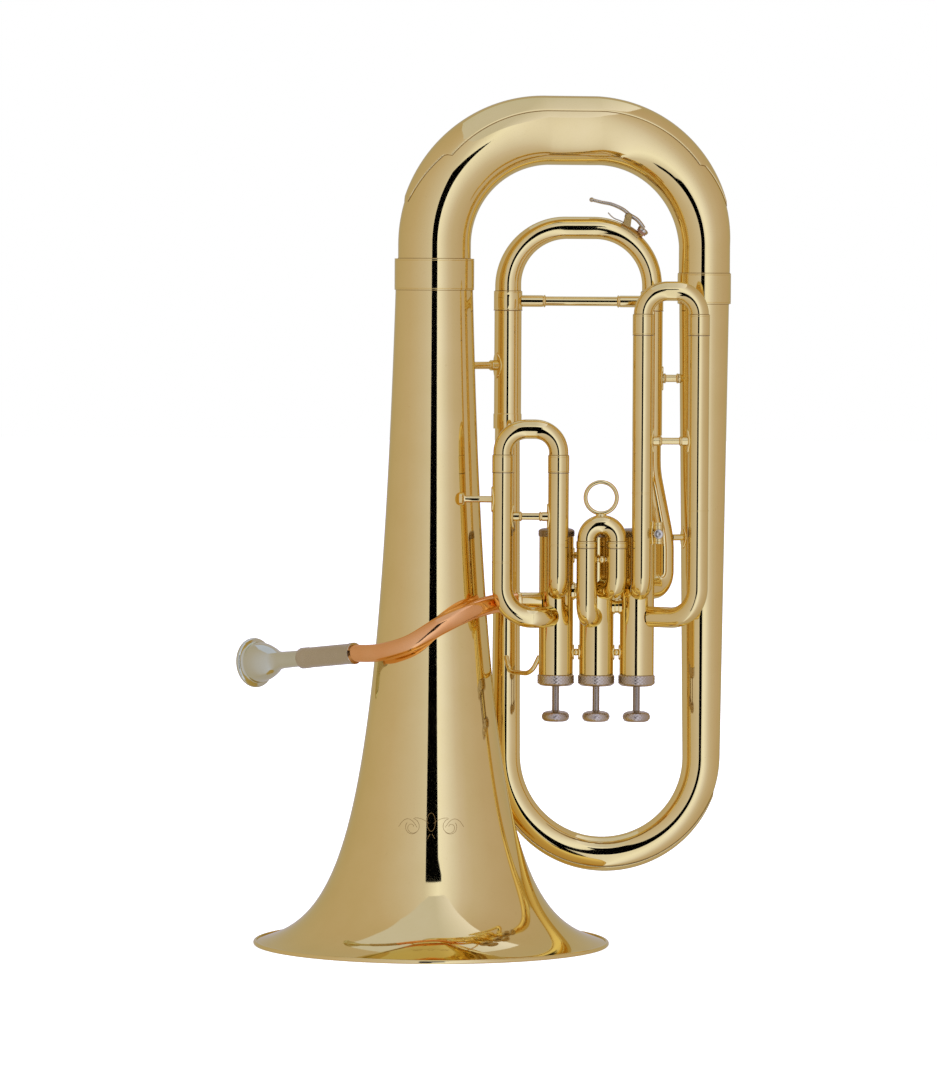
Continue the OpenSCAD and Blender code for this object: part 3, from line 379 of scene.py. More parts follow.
def plain(name, light, dark, rough, scale, bump):
    """Felt and cork: rough, speckled and uneven."""
    material, nodes, links, bsdf = new_material(name)
    grain = noise(nodes, links, scale, 6, rough=0.75)
    speckle = spread(nodes, links, grain, 0, 1)
    links.new(mix_colours(nodes, links, speckle, light, dark), bsdf.inputs["Base Color"])
    links.new(spread(nodes, links, grain, rough - 0.1, rough + 0.1), bsdf.inputs["Roughness"])
    add_bump(nodes, links, bsdf, ((grain, bump, 0.0004),))
    return material


BRASS = metal("lacquered_brass", (0.90, 0.68, 0.245), (0.87, 0.65, 0.220), (0.60, 0.36, 0.09), 0.045,
              edge=(0.86, 0.85, 0.60), coat=0.12)
CAST_BRASS = metal("cast_brass", (0.72, 0.47, 0.13), (0.60, 0.38, 0.10), (0.34, 0.20, 0.06), 0.3)
COPPER = metal("copper_pipe", (0.97, 0.50, 0.17), (0.92, 0.42, 0.12), (0.55, 0.22, 0.06), 0.12,
               edge=(0.98, 0.8, 0.6), coat=0.15)
NICKEL = metal("nickel_silver", (0.69, 0.60, 0.38), (0.59, 0.50, 0.31), (0.30, 0.22, 0.12), 0.2)
RECEIVER = metal("receiver_nickel", (0.60, 0.50, 0.28), (0.54, 0.44, 0.24), (0.34, 0.26, 0.14), 0.22)
CAPS = metal("cap_nickel", (0.63, 0.51, 0.31), (0.54, 0.43, 0.26), (0.26, 0.18, 0.10), 0.18)
BUTTON = metal("button_nickel", (0.62, 0.51, 0.33), (0.47, 0.37, 0.24), (0.18, 0.12, 0.07), 0.2)
STEM = metal("stem_nickel", (0.42, 0.33, 0.20), (0.34, 0.26, 0.15), (0.17, 0.12, 0.07), 0.24)
SILVER = metal("silver_plate", (0.71, 0.68, 0.42), (0.65, 0.62, 0.37), (0.43, 0.37, 0.20), 0.10)
STEEL = metal("spring_steel", (0.60, 0.58, 0.56), (0.52, 0.50, 0.48), (0.30, 0.27, 0.24), 0.22)
SEAM = metal("solder_seam", (0.42, 0.27, 0.08), (0.32, 0.20, 0.06), (0.16, 0.09, 0.03), 0.4)
FELT = plain("felt", (0.07, 0.068, 0.065), (0.035, 0.034, 0.032), 0.9, 2500, 0.6)
CORK = plain("cork", (0.50, 0.25, 0.13), (0.26, 0.12, 0.06), 0.8, 1500, 0.5)


# ---------- solder seams: fine dark lines where a ferrule or plate ends ----------

SEAM_R = 0.3
seams = {}


def seam(body):
    return seams.setdefault(body, Shell())


def seam_ring(body, x, y, z, r):
    seam(body).lathe([(r + SEAM_R * cos(pi * k / 4), z + SEAM_R * sin(pi * k / 4)) for k in range(8)],
                     upright(x, y), 96)


def make_seams():
    for body, shell in seams.items():
        shell.piece(f"{body}_seam_lines", SEAM, body)


# ---------- bell, bows and branches ----------

def bell_radius(z):
    return (BELL_THROAT_R + BELL_FLARE * log((BELL_TOP + BELL_REACH) / (z + BELL_REACH))
            - BELL_CONE * (BELL_TOP - z))


def make_bell():
    lip, foot, rows = BELL_R - BEAD_R, 2.2, 150
    heights = [foot + (BELL_TOP - foot) * (k / rows) ** 2.3 for k in range(rows + 1)]
    outer = [(bell_radius(z), z) for z in heights if bell_radius(z) < lip - 0.7]
    bead = [(r, max(z, 0.0)) for r, z in arc(lip, BEAD_R - 0.25, BEAD_R, 118, -215, 40)]
    inner = [(r - 0.9 - 1.2 * max(0, 1 - z / 30), z) for r, z in outer if z > 4]
    Shell().lathe(list(reversed(outer)) + bead + inner, sides=192).piece(
        "bell_shell", BRASS, "horn", ("bell", "bell_rim_bead"))


def make_engraving():
    """A faint leaf scroll cut into the flare, the same on both sides."""
    def cut(shell, strokes):
        for points in strokes:
            for side in (-1, 1):
                path = []
                for across, z in points:
                    r = bell_radius(z)
                    turn = side * across / r
                    path.append(Vector((r * sin(turn), -r * cos(turn), z)))
                shell.tube(spline(path, 3), 0.17, sides=8)

    def round_eye(r, a):
        return 15 + r * cos(radians(a)), 98 + r * sin(radians(a))

    # Strokes of (distance round the flare, height) points
    curl = [round_eye(8 - 0.013 * a, a) for a in range(100, 521, 20)]
    inner = [round_eye(5.2, a) for a in range(-140, 41, 20)]
    outer = [(26 - 3 * k, 98 + k * (5 - k)) for k in range(6)]
    stem = [(2 + 2.2 * k, 101 + 1.9 * k - 0.22 * k * k) for k in range(6)]
    leaf = [(3.2 * sin(radians(a)), 102 - 7 * cos(radians(a))) for a in range(0, 181, 20)]
    vein = [(0.8 + 0.5 * k, 93 - 0.9 * k) for k in range(5)]
    shell = Shell()
    cut(shell, (curl, inner, outer, stem, leaf, vein))
    shell.piece("bell_engraving", SEAM, "horn")


def stepped_sleeve(node, r_top, r_bottom):
    """A ferrule over a joint, its inner edges closed down to the tube on either side."""
    (z0, z1), c, r = height_span(node), middle(node), half_width(node)
    profile = sleeve_profile(min(r_bottom, r_top) - 0.3, r, z0, z1)
    Shell().lathe(profile, upright(c.x, c.y), 128).piece(node + "_turned", BRASS, "horn", (node,))
    seam_ring("horn", c.x, c.y, z0 - 0.1, r_bottom)
    seam_ring("horn", c.x, c.y, z1 + 0.1, r_top)


def top_bow_path():
    crown = TOP_SPRING_Z + TOP_BEND_R
    x, y = BRANCH.x, BRANCH.y
    return bent([(0, 0, BELL_TOP + 1), (0, 0, crown), (x, y, crown),
                 (x, y, box("branch_ferrule")[0].z + 12)], (TOP_BEND_R, TOP_BEND_R), 2.0)


def station_at(path, share):
    """The path's point and tangent at a share of its turning."""
    for (p, t, s), (q, u, v) in zip(path, path[1:]):
        if s <= share <= v and v > s:
            f = (share - s) / (v - s)
            return p.lerp(q, f), t.lerp(u, f).normalized()
    return path[-1][0], path[-1][1]


def plate(path, plane_normal, radius, half_angle, t0, t1, thick, name, node):
    """A pressed plate on the outside of a bow, from path angle t0 to t1, with rounded edges."""
    shell, rings, edges, steps, n = Shell(), [], ([], []), 150, 44
    edge = [(0.0, 0.15), (0.004, 0.62), (0.012, 0.9), (0.026, 1.0)]      # (share across, share of thick)
    across = (edge + [(0.026 + 0.948 * k / n, 1.0) for k in range(1, n)]
              + [(1 - f, h) for f, h in reversed(edge)])
    for i in range(steps + 1):
        t = t0 + (t1 - t0) * i / steps
        point, tangent = station_at(path, t / 180)
        outward = plane_normal.cross(tangent).normalized()
        half, r = radians(half_angle(t)), radius(t / 180)
        tip = min(1.0, 0.15 + min(i, steps - i) * 0.45)
        top = [point + (r + 0.05 + thick * min(h, tip)) * (cos(a) * outward + sin(a) * plane_normal)
               for a, h in (((2 * f - 1) * half, h) for f, h in across)]
        under = [point + (r - 0.25) * (cos(a) * outward + sin(a) * plane_normal)
                 for a in ((2 * f - 1) * half for f, _ in reversed(across))]
        rings.append(top + under)
        for side in (0, 1):
            a = half * (2 * side - 1)
            edges[side].append(point + (r + 0.1) * (cos(a) * outward + sin(a) * plane_normal))
    shell.rings(rings).piece(name, BRASS, "horn", (node,), sharp=50)
    for line in edges:
        path = [(p, (line[min(i + 1, steps)] - line[max(i - 1, 0)]).normalized(), 0)
                for i, p in enumerate(line)]
        seam("horn").tube(path, SEAM_R, sides=8)


GUARD_TIPS, GUARD_TAILS, GUARD_SHOULDER = (16.5, 163.5), (23.2, 20.2), 0.8


def guard_half_angle(t):
    """Half the angle the top guard covers: tails that widen, then a shoulder, then the broad middle."""
    first = t < 90
    inside = t - GUARD_TIPS[0] if first else GUARD_TIPS[1] - t
    tail = GUARD_TAILS[0 if first else 1]
    if inside < tail:
        return 16 + 28 * (max(inside, 0) / tail) ** 0.8
    step = min(1, (inside - tail) / GUARD_SHOULDER)
    return 44 + 11 * step * step * (3 - 2 * step)


def make_bows():
    flat = Vector((BRANCH.x, BRANCH.y, 0)).normalized()
    top = top_bow_path()
    Shell().tube(top, parabola(TOP_RADII), 0.8, sides=112).piece(
        "top_bow_tube", BRASS, "horn", ("top_bow",))
    plate(top, flat.cross(UP).normalized(), parabola(TOP_RADII), guard_half_angle,
          *GUARD_TIPS, 1.0, "top_bow_guard_plate", "top_bow_guard")
    stepped_sleeve("bell_ferrule", TOP_RADII[0], BELL_THROAT_R)
    stepped_sleeve("branch_ferrule", TOP_RADII[2], 19.8)
    turned_cone("big_branch", BOTTOM_RADII[2], half_width("big_branch"))
    turned_cone("small_branch", half_width("small_branch"), 9.8)
    span = BRANCH.x - SMALL.x
    low = BOTTOM_SPRING_Z - span / 2
    bottom = bent([(SMALL.x, SMALL.y, BOTTOM_SPRING_Z + 0.4), (SMALL.x, SMALL.y, low),
                   (BRANCH.x, SMALL.y, low), (BRANCH.x, SMALL.y, BOTTOM_SPRING_Z + 0.4)],
                  (span / 2 - 0.01,) * 2, 2.0)
    Shell().tube(bottom, parabola(BOTTOM_RADII), 0.8, sides=80).piece(
        "bottom_bow_tube", BRASS, "horn", ("bottom_bow",))
    plate(bottom, Vector((0, 1, 0)), parabola(BOTTOM_RADII),
          lambda t: 10 + 34 * max(sin(radians((t - 18) * 180 / 144)), 0) ** 0.6,
          18, 162, 0.8, "bottom_bow_guard_strip", "bottom_bow_guard")


def turned_cone(node, r0, r1):
    """A branch that widens evenly from radius r0 at its foot to r1 at its top."""
    (z0, z1), c, n, wall = height_span(node), middle(node), 24, 0.8
    outer = [(r0 + (r1 - r0) * k / n, z0 + (z1 - z0) * k / n) for k in range(n + 1)]
    inner = [(r - wall, z) for r, z in reversed(outer)]
    Shell().lathe(outer + inner, upright(c.x, c.y)).piece(node + "_tube", BRASS, "horn", (node,))


# ---------- main tuning slide ----------

def straight(shell, x, y, z0, z1, r):
    """An upright sleeve with its outer edges eased."""
    wall, edge, n = 0.7, 0.15, max(2, int((z1 - z0) / 12))
    outer = [(r, z0 + (z1 - z0) * k / n) for k in range(n + 1)]
    outer[0], outer[-1] = (r - edge, z0), (r - edge, z1)
    outer.insert(1, (r, z0 + edge))
    outer.insert(-1, (r, z1 - edge))
    return shell.lathe(outer + [(r - wall, z1), (r - wall, z0)], upright(x, y), 64)


def stay(shell, a, b, rod_r, socket_r, socket_len):
    """A rod from a to b with a turned socket at either end."""
    a, b = Vector(a), Vector(b)
    length = (b - a).length
    half = [(0, -0.5), (socket_r, -0.5), (socket_r, 0.6 * socket_len), (socket_r, socket_len - 2.2),
            (socket_r - 0.35, socket_len - 2.0), (socket_r - 0.35, socket_len - 1.5)]
    half += arc(socket_r - 0.45, socket_len - 0.75, 0.72, -80, 80, 6) + [(rod_r, socket_len + 0.3)]
    bar = [(rod_r, socket_len + 0.3 + (length - 2 * socket_len - 0.6) * k / 8) for k in range(1, 8)]
    other = [(r, length - h) for r, h in reversed(half)]
    return shell.lathe(half + bar + other, placed(a, b - a), 40, closed=False)


def make_tuning_slide():
    y, xs = SMALL.y, (SMALL.x, TUNING_RIGHT_X)
    shell = Shell()
    z_left, z_right = box("small_branch")[1].z, box("tuning_sleeves")[0].z
    straight(shell, xs[0], y, z_left + 0.5, TUNING_SLEEVE_TOP, TUNING_LEFT_R)
    straight(shell, xs[1], y, z_right, TUNING_SLEEVE_TOP, TUNING_RIGHT_R)
    ring = ((0.45, 0.4), (0.3, 0.0), (-0.5, 0.0), (-0.5, 12), (0, 12), (0.3, 11.7), (0.45, 11.2))
    shell.lathe([(TUNING_LEFT_R + r, h + z_left - 6) for r, h in reversed(ring)], upright(xs[0], y), 64)
    shell.piece("tuning_sleeve_tubes", BRASS, "horn", ("tuning_sleeves",))
    crown = TUNING_SPRING_Z + TUNING_BEND_R
    path = u_path(xs, y, TUNING_SPRING_Z - 4.8, crown, TUNING_BEND_R)
    Shell().tube(path, parabola(TUNING_RADII), 0.8, sides=72).piece(
        "tuning_crook_tube", BRASS, "tuning_slide", ("tuning_crook",))
    z0, z1 = height_span("tuning_ferrules")
    shell = Shell()
    for x, r, inner in ((xs[0], 11.2, 9.9), (xs[1], 9.0, 7.75)):
        shell.lathe(sleeve_profile(inner, r, z0, z1, 0.12), upright(x, y), 72)
        seam_ring("tuning_slide", x, y, z0 + 0.1, r)
        seam_ring("tuning_slide", x, y, z1 + 0.1, inner + 0.4)
    shell.piece("tuning_ferrules_turned", BRASS, "tuning_slide", ("tuning_ferrules",))
    z = middle("tuning_brace").z
    shell = Shell()
    stay(shell, (xs[0] + 11.0, y, z), (xs[1] - 8.8, y, z), 3.7, 4.6, 18.5)
    shell.piece("tuning_brace_turned", BRASS, "tuning_slide", ("tuning_brace",))
    outlet = bent([(xs[1], y, z_right + 0.4), (xs[1], y, 372), (*OUTLET_XY, 318), (*OUTLET_XY, 280),
                   (VALVES[2].x + 2, VALVES[2].y + 2.7, 280)], (60, 60, 14))
    Shell().tube(outlet, OUTLET_R, 0.7, sides=56).piece(
        "valve_outlet_pipe", BRASS, "horn", ("valve_outlet_tube",))


# ---------- water key ----------

def make_water_key():
    shoulder = Vector((TUNING_RIGHT_X - TUNING_BEND_R, SMALL.y, TUNING_SPRING_Z))

    def out(r, angle):
        """A point at a radius and an angle about the middle of the crook's right bend."""
        return shoulder + r * Vector((cos(radians(angle)), 0, sin(radians(angle))))

    pivot = out(61, 64)
    cup_dir = out(1, 49) - shoulder
    arm = spline([pivot + Vector((0.8, 0, 1.2)), out(62.3, 58), out(61.2, 53.5), out(59.8, 49.6)], 8)
    tip = out(68, 92)
    lever = spline([pivot + Vector((0.6, 0, 1.6)), out(64.5, 70), out(65.8, 78), out(66.2, 85), tip], 8)
    shell = Shell().tube(arm, 1.7, sides=20, squash=1.25)
    shell.tube(lever, lambda s: 1.55 - 0.2 * s, sides=20, squash=1.6)
    shell.lathe([(0, -3.3), (2.2, -3.3), (2.45, -3.05), (2.45, 3.05), (2.2, 3.3), (0, 3.3)],
                placed(pivot, (0, 1, 0)), 28, closed=False)
    shell.lathe([(0, 0.4), (3.9, 0.4), (3.9, 0), (4.4, 0), (4.6, 0.25), (4.6, 2.1), (4.1, 2.7),
                 (2.4, 3.2), (0, 3.3)], placed(out(57.05, 49), cup_dir), 40, closed=False)
    shell.lathe([(0, -1.9)] + arc(0, 0, 1.9, -80, 80, 10) + [(0, 1.9)],
                placed(tip, (0, 1, 0)), 24, closed=False)
    shell.piece("water_key_lever", NICKEL, "water_key", ("water_key",), "nickel_silver")
    Shell().lathe([(0, 0), (3.8, 0), (4, 0.2), (4, 1.5), (0, 1.55)],
                  placed(out(TUNING_BEND_R + 9.75, 49), cup_dir), 32, closed=False).piece(
        "water_key_cork_pad", CORK, "water_key", ("water_key_cork",), "cork")
    finger = spline([out(55.2, 63), out(55.3, 69), out(55.5, 73.5), out(56.7, 76.6), out(58.8, 79.6)], 8)
    Shell().tube(finger, 0.5, sides=12).piece(
        "water_key_spring_finger", NICKEL, "tuning_slide", (), "nickel_silver")


# ---------- valves ----------

def knurl(count, z0, pitch, depth, rows):
    """A diamond pattern raised on some rows of a profile."""
    def ripple(angle, height, row):
        if row not in rows:
            return 0
        turn, lean = count * angle, (height - z0) * 2 * pi / pitch
        return depth * max(0.0, cos(turn + lean)) * max(0.0, cos(turn - lean))
    return ripple


def make_caps(node, material, profile, ripple):
    shell = Shell()
    for c in VALVES:
        shell.lathe(profile, upright(c.x, c.y), 288, ripple=ripple)
    shell.piece(node + "_knurled", material, "horn", (node,), "nickel_silver", sharp=60)


def make_valves():
    z0, z1 = CASING_Z
    cap_lo, cap_hi = box("top_caps")
    cap_r = (cap_hi.y - cap_lo.y) / 2
    for n, c in enumerate(VALVES, 1):
        shell = Shell()
        wall = [(CASING_R, z0 + (z1 - z0) * k / 24) for k in range(25)]
        shell.lathe(wall + [(CASING_R - 1, z1), (CASING_R - 1, z0)], upright(c.x, c.y))
        shell.piece(f"valve_casing_{n}_tube", BRASS, "horn", (f"valve_casing_{n}",))
    h0, h1 = cap_lo.z, z0
    rows = [h0 + 2.2 + (h1 - h0 - 3.4) * k / 14 for k in range(15)]
    profile = ([(3.2, h0), (cap_r - 4.4, h0), (cap_r - 2.6, h0 + 0.3), (cap_r - 1.3, h0 + 1.1),
                (cap_r - 0.6, h0 + 1.9)]
               + [(cap_r - 0.35, z) for z in rows]
               + [(cap_r - 0.45, h1 - 0.7), (cap_r - 0.9, h1 - 0.2), (CASING_R - 1, h1), (CASING_R - 1.9, h1),
                  (CASING_R - 1.9, h0 + 2.2), (3.2, h0 + 2.2)])
    make_caps("top_caps", CAPS, profile, knurl(36, h0, 2.6, 0.35, range(5, 20)))
    h0, h1 = z1, box("bottom_caps")[1].z
    rows = [h0 + 1.0 + (h1 - h0 - 3.0) * k / 9 for k in range(10)]
    profile = ([(CASING_R - 1, h0), (cap_r - 0.9, h0), (cap_r - 0.5, h0 + 0.5)]
               + [(cap_r - 0.55, z) for z in rows]
               + [(cap_r - 0.9, h1 - 1.4), (cap_r - 1.8, h1 - 0.6), (cap_r - 4, h1), (2.4, h1),
                  (1.8, h1 - 0.7), (1.7, h1 - 1.6), (CASING_R - 2, h1 - 1.6)])
    make_caps("bottom_caps", STEM, profile, knurl(36, h0, 2.4, 0.33, range(3, 13)))
    for n, c in enumerate(VALVES, 1):
        make_button(n, c)
    make_knuckles_and_braces()


def make_button(n, c):
    node = f"finger_button_{n}"
    (z, end), r, h = height_span(node), half_width(node), 9.0
    rim = arc(r - 4.1, z + h / 2, 4.0, -74, 74, 22)
    profile = [(0, z + 1.05), (r * 0.45, z + 0.9), (r - 3.6, z + 0.55)] + rim
    profile += [(r - 4.0, z + h - 0.3), (3.6, z + h - 0.1), (3.1, z + h + 0.4), (0, z + h + 0.4)]
    Shell().lathe(profile, upright(c.x, c.y), 240, closed=False,
                  ripple=knurl(30, z, 2.9, 0.32, range(4, 24))).piece(
        node + "_cap", BUTTON, f"valve_{n}", (node,), "nickel_silver", sharp=60)
    neck = box("cap_felts")[1].z + 0.2
    stem = [(0, z + h), (2.8, z + h), (2.8, z + 22), (2.8, neck), (2.4, neck), (2.4, end), (0, end)]
    Shell().lathe(stem, upright(c.x, c.y), 40, closed=False).piece(
        node + "_stem", STEM, f"valve_{n}", (node,), "nickel_silver")


def beaded(shell, a, b, rod_r):
    """A thin rod with a bead and two small collars in the middle."""
    a, b = Vector(a), Vector(b)
    length = (b - a).length
    m = length / 2
    profile = ([(0, 0), (rod_r, 0), (rod_r, m - 3.2), (rod_r + 0.6, m - 3.0), (rod_r + 0.6, m - 2.5)]
               + arc(0, m, 2.9, -52, 52, 12)
               + [(rod_r + 0.6, m + 2.5), (rod_r + 0.6, m + 3.0), (rod_r, m + 3.2), (rod_r, length),
                  (0, length)])
    return shell.lathe(profile, placed(a, b - a), 40, closed=False)


def make_knuckles_and_braces():
    shell = Shell()
    for a, b, z in ((VALVES[0], VALVES[1], 279), (VALVES[1], VALVES[2], 268)):
        start, end = Vector((a.x + CASING_R - 1.5, a.y, z)), Vector((b.x - CASING_R + 1.5, b.y, z))
        length = (end - start).length
        flange = [(6.2, 0), (7.1, 0), (7.1, 2.1), (6.9, 2.4), (6.2, 2.6)]
        mirrored = [(r, length - h) for r, h in reversed(flange)]
        shell.lathe(flange + mirrored + [(5.4, length), (5.4, 0)], placed(start, (1, 0, 0)), 56)
    shell.piece("valve_knuckle_tubes", BRASS, "horn", ("valve_knuckles",))
    shell = Shell()
    for a, b, z in ((0, 1, 231), (0, 1, 307), (1, 2, 231)):
        p, q = VALVES[a], VALVES[b]
        beaded(shell, (p.x + CASING_R - 0.4, p.y, z), (q.x - CASING_R + 0.4, q.y, z), 2.0)
        shell.saddle(p.x, p.y, z, CASING_R, 0, 8.4, 12)
        shell.saddle(q.x, q.y, z, CASING_R, 180, 8.4, 12)
    shell.piece("casing_braces_turned", BRASS, "horn", ("casing_braces",))


# ---------- valve slides ----------

def leg_into_casing(x, top, port_z, bend, valve):
    """A sleeve that comes straight down and turns into a casing."""
    start = Vector((x, SLIDE_Y, port_z))
    axis = Vector((valve.x, valve.y, port_z))
    end = axis - (axis - start).normalized() * (CASING_R - 0.8)
    return bent([(x, SLIDE_Y, top), start, end], (bend,))


def make_sleeves():
    first, second, third = SLIDES.values()
    v1, v2, v3 = VALVES
    turn = Vector((84.4, SLIDE_Y + 2.4, PORT_LOW_Z))
    axis = Vector((v1.x, v1.y, PORT_LOW_Z))
    outer = bent([(first["x"][0], SLIDE_Y, first["top"]), (first["x"][0], SLIDE_Y, PORT_LOW_Z), turn,
                  axis - (axis - turn).normalized() * (CASING_R - 0.8)], (KNEE, 11))
    legs = {
        "first": [outer, leg_into_casing(first["x"][1], first["top"], PORT_HIGH_Z, ELBOW, v1)],
        "second": [leg_into_casing(second["x"][0], second["top"], PORT_LOW_Z, ELBOW, v2),
                   leg_into_casing(second["x"][1], second["top"], PORT_HIGH_Z, ELBOW, v2)],
        "third": [leg_into_casing(third["x"][0], third["top"], PORT_HIGH_Z, ELBOW, v3),
                  leg_into_casing(third["x"][1], third["top"], PORT_LOW_Z, KNEE, v3)]}
    for name, paths in legs.items():
        shell = Shell()
        for path in paths:
            shell.tube(path, SLEEVE_R, 0.5, sides=56)
            top, low = path[0][0], path[-1][0]
            joint = top.z - (top.z - low.z) * 0.62
            if name != "second":
                shell.lathe(ring_profile(SLEEVE_R - 0.3, SLEEVE_R + 0.22, joint, joint + 1.1, 0.2),
                            upright(top.x, SLIDE_Y), 56)
        shell.piece(f"{name}_slide_sleeve_tubes", BRASS, "horn", (f"{name}_slide_sleeves",))


def make_slides():
    bends = {"first": 18.5, "second": 11.4, "third": 18.5}
    for name, s in SLIDES.items():
        path = u_path(s["x"], s["y"], s["crook_z"], s["crown"], bends[name])
        Shell().tube(path, CROOK_R, 0.5, sides=56).piece(
            f"{name}_slide_crook_tube", BRASS, f"{name}_slide", (f"{name}_slide_crook",))
        z0, z1 = s["ferrule_z"]
        shell = Shell()
        for x in s["x"]:
            shell.lathe(sleeve_profile(CROOK_R - 0.1, SLEEVE_R + 0.25, z0, z1, 0.14),
                        upright(x, s["y"]), 64)
            seam_ring(f"{name}_slide", x, s["y"], z0 + 0.2, SLEEVE_R + 0.1)
            seam_ring(f"{name}_slide", x, s["y"], z1 + 0.1, CROOK_R)
        shell.piece(f"{name}_slide_ferrules_turned", BRASS, f"{name}_slide",
                    (f"{name}_slide_ferrules",))


def make_slide_braces():
    shell = Shell()
    for name, z in (("first", 338.5), ("third", 397.7)):
        x0, x1 = SLIDES[name]["x"]
        stay(shell, (x0 + SLEEVE_R - 0.3, SLIDE_Y, z), (x1 - SLEEVE_R + 0.3, SLIDE_Y, z), 2.7, 3.6, 7)
        shell.saddle(x0, SLIDE_Y, z, SLEEVE_R, 0, 10, 20)
        shell.saddle(x1, SLIDE_Y, z, SLEEVE_R, 180, 10, 20)
    x0, x1 = SLIDES["second"]["x"]
    beaded(shell, (x0 + SLEEVE_R - 0.3, SLIDE_Y, 305), (x1 - SLEEVE_R + 0.3, SLIDE_Y, 305), 1.3)
    shell.piece("slide_braces_turned", BRASS, "horn", ("slide_braces",))


def make_pull_ring():
    x, wire = middle("pull_ring").x, 1.6
    r = half_width("pull_ring") - wire
    low = box("pull_ring")[1].z - wire - 2 * r
    shell = Shell().lathe(arc(r, 0, wire, 0, 345, 23), placed((x, SLIDE_Y, low + r), (0, 1, 0)))
    crown = SLIDES["second"]["crown"] + CROOK_R
    shell.lathe([(0, crown - 1.2), (4.3, crown - 1.2), (4.1, crown + 0.3), (3.0, crown + 0.8),
                 (2.3, crown + 1.4), (2.1, low), (0, low)], upright(x, SLIDE_Y), 40, closed=False)
    shell.piece("pull_ring_wire", BRASS, "second_slide", ("pull_ring",))


# ---------- leadpipe, receiver and mouthpiece ----------

LEAD_POINTS = [(-60.5, -20.5, 230.1), (-41.5, -39, 232), (-18, -53, 239.5), (6, -55.5, 254),
               (30, -44, 265.2), (50, -19.5, 269.6), (66, -9.6, 270)]
RECEIVER_TURN, RECEIVER_DIP = 45, 6.5      # degrees: to the left of the lens, and down
RECEIVER_LEN, MOUTHPIECE_LEN, RIM_R, SHANK_IN = 60.0, 58.0, 19.78, 24.0


def make_leadpipe():
    path = spline(LEAD_POINTS, 16)
    Shell().tube(path, parabola((6.8, 7.15, 7.5)), 0.7, sides=64).piece(
        "leadpipe_tube", COPPER, "horn", ("leadpipe",), "copper_pipe")
    start = Vector(LEAD_POINTS[-1])
    axis = Vector((VALVES[0].x, VALVES[0].y, start.z))
    length = (axis - start).length - CASING_R + 0.8
    Shell().lathe([(6.9, 0), (8.0, 0), (8.4, 0.4), (8.4, 2.4), (8.0, 2.9), (7.9, 3.4), (7.9, length),
                   (6.9, length)], placed(start, axis - start), 64).piece(
        "leadpipe_socket_turned", BRASS, "horn", ("leadpipe_socket",))
    turn, dip = radians(RECEIVER_TURN), radians(RECEIVER_DIP)
    out = Vector((-cos(turn) * cos(dip), sin(turn) * cos(dip), -sin(dip)))
    base = Vector(LEAD_POINTS[0]) + out * 0.1
    length = RECEIVER_LEN
    profile = [(5.7, 0), (8.2, 0), (8.5, 0.3), (8.5, 3.6), (8.3, 4.2), (8.1, 4.9), (8.1, 12), (8.1, 30),
               (8.1, length - 12), (8.1, length - 9), (8.2, length - 8.2), (8.35, length - 7.5),
               (8.35, length - 0.8), (8.0, length - 0.2), (7.4, length), (5.75, length),
               (5.1, length - SHANK_IN)]
    Shell().lathe(profile, placed(base, out), 72).piece(
        "mouthpiece_receiver_turned", RECEIVER, "horn", ("mouthpiece_receiver",), "nickel_silver")
    make_mouthpiece(base + out * RECEIVER_LEN, out)


def make_mouthpiece(base, out):
    """Turned about out, its heights measured from where the shank enters the receiver."""
    far = MOUTHPIECE_LEN
    shank = [(3.4, -SHANK_IN), (4.8, -SHANK_IN), (5.05, -SHANK_IN + 0.3), (5.6, -0.4), (6.5, 0.5)]
    body = smooth_profile([(6.5, 0.5), (6.5, 8), (6.6, 16), (6.9, 24), (8.2, 29), (10.6, 33.5), (12.6, 37.5),
                           (14.4, 42), (15.6, 47), (16.0, 51.2)], 6)
    band = [(16.1, 51.9), (16.5, 52.5), (17.2, 52.8), (18.0, 53.1)]
    rim = band + [(RIM_R - 3.4 + 3.4 * cos(radians(a)), far - 2.8 + 2.6 * sin(radians(a)))
                  for a in range(-52, 91, 6)]
    face = [(RIM_R - 4.4, far - 0.3), (RIM_R - 5.4, far - 0.75), (13.1, far - 1.6)]
    cup = [(12.6 * cos(radians(a)) + 0.2, far - 2.5 - 21 * sin(radians(a))) for a in range(0, 78, 5)]
    bore = [(3.9, far - 25.6), (3.2, far - 28), (3.2, 0)]
    Shell().lathe(shank + body[1:] + rim + face + cup + bore, placed(base, out), 96).piece(
        "mouthpiece_turned", SILVER, "mouthpiece", ("mouthpiece",), "silver_plate")


# ---------- braces, thumb hook and lyre socket ----------

def flanged(shell, a, b, rod_r, foot_at_a=0.0, foot_at_b=0.0, foot_r=5.0):
    """A rod with a low round foot of the given thickness, or none, at either end."""
    a, b = Vector(a), Vector(b)
    length = (b - a).length
    start, end = [(0, 0), (rod_r, 0)], [(rod_r, length), (0, length)]
    if foot_at_a:
        start = [(0, 0), (foot_r, 0), (foot_r, foot_at_a), (foot_r - 0.8, foot_at_a + 0.8),
                 (rod_r + 0.5, foot_at_a + 1.2), (rod_r, foot_at_a + 2.4)]
    if foot_at_b:
        end = [(rod_r, length - foot_at_b - 2.2), (foot_r - 0.4, length - foot_at_b - 1.8),
               (foot_r, length - foot_at_b - 1.2), (foot_r, length), (0, length)]
    return shell.lathe(start + end, placed(a, b - a), 36, closed=False)


def branch_r(z):
    """The big branch's radius at a height."""
    (z0, z1), foot = height_span("big_branch"), BOTTOM_RADII[2]
    return foot + (half_width("big_branch") - foot) / (z1 - z0) * (z - z0)


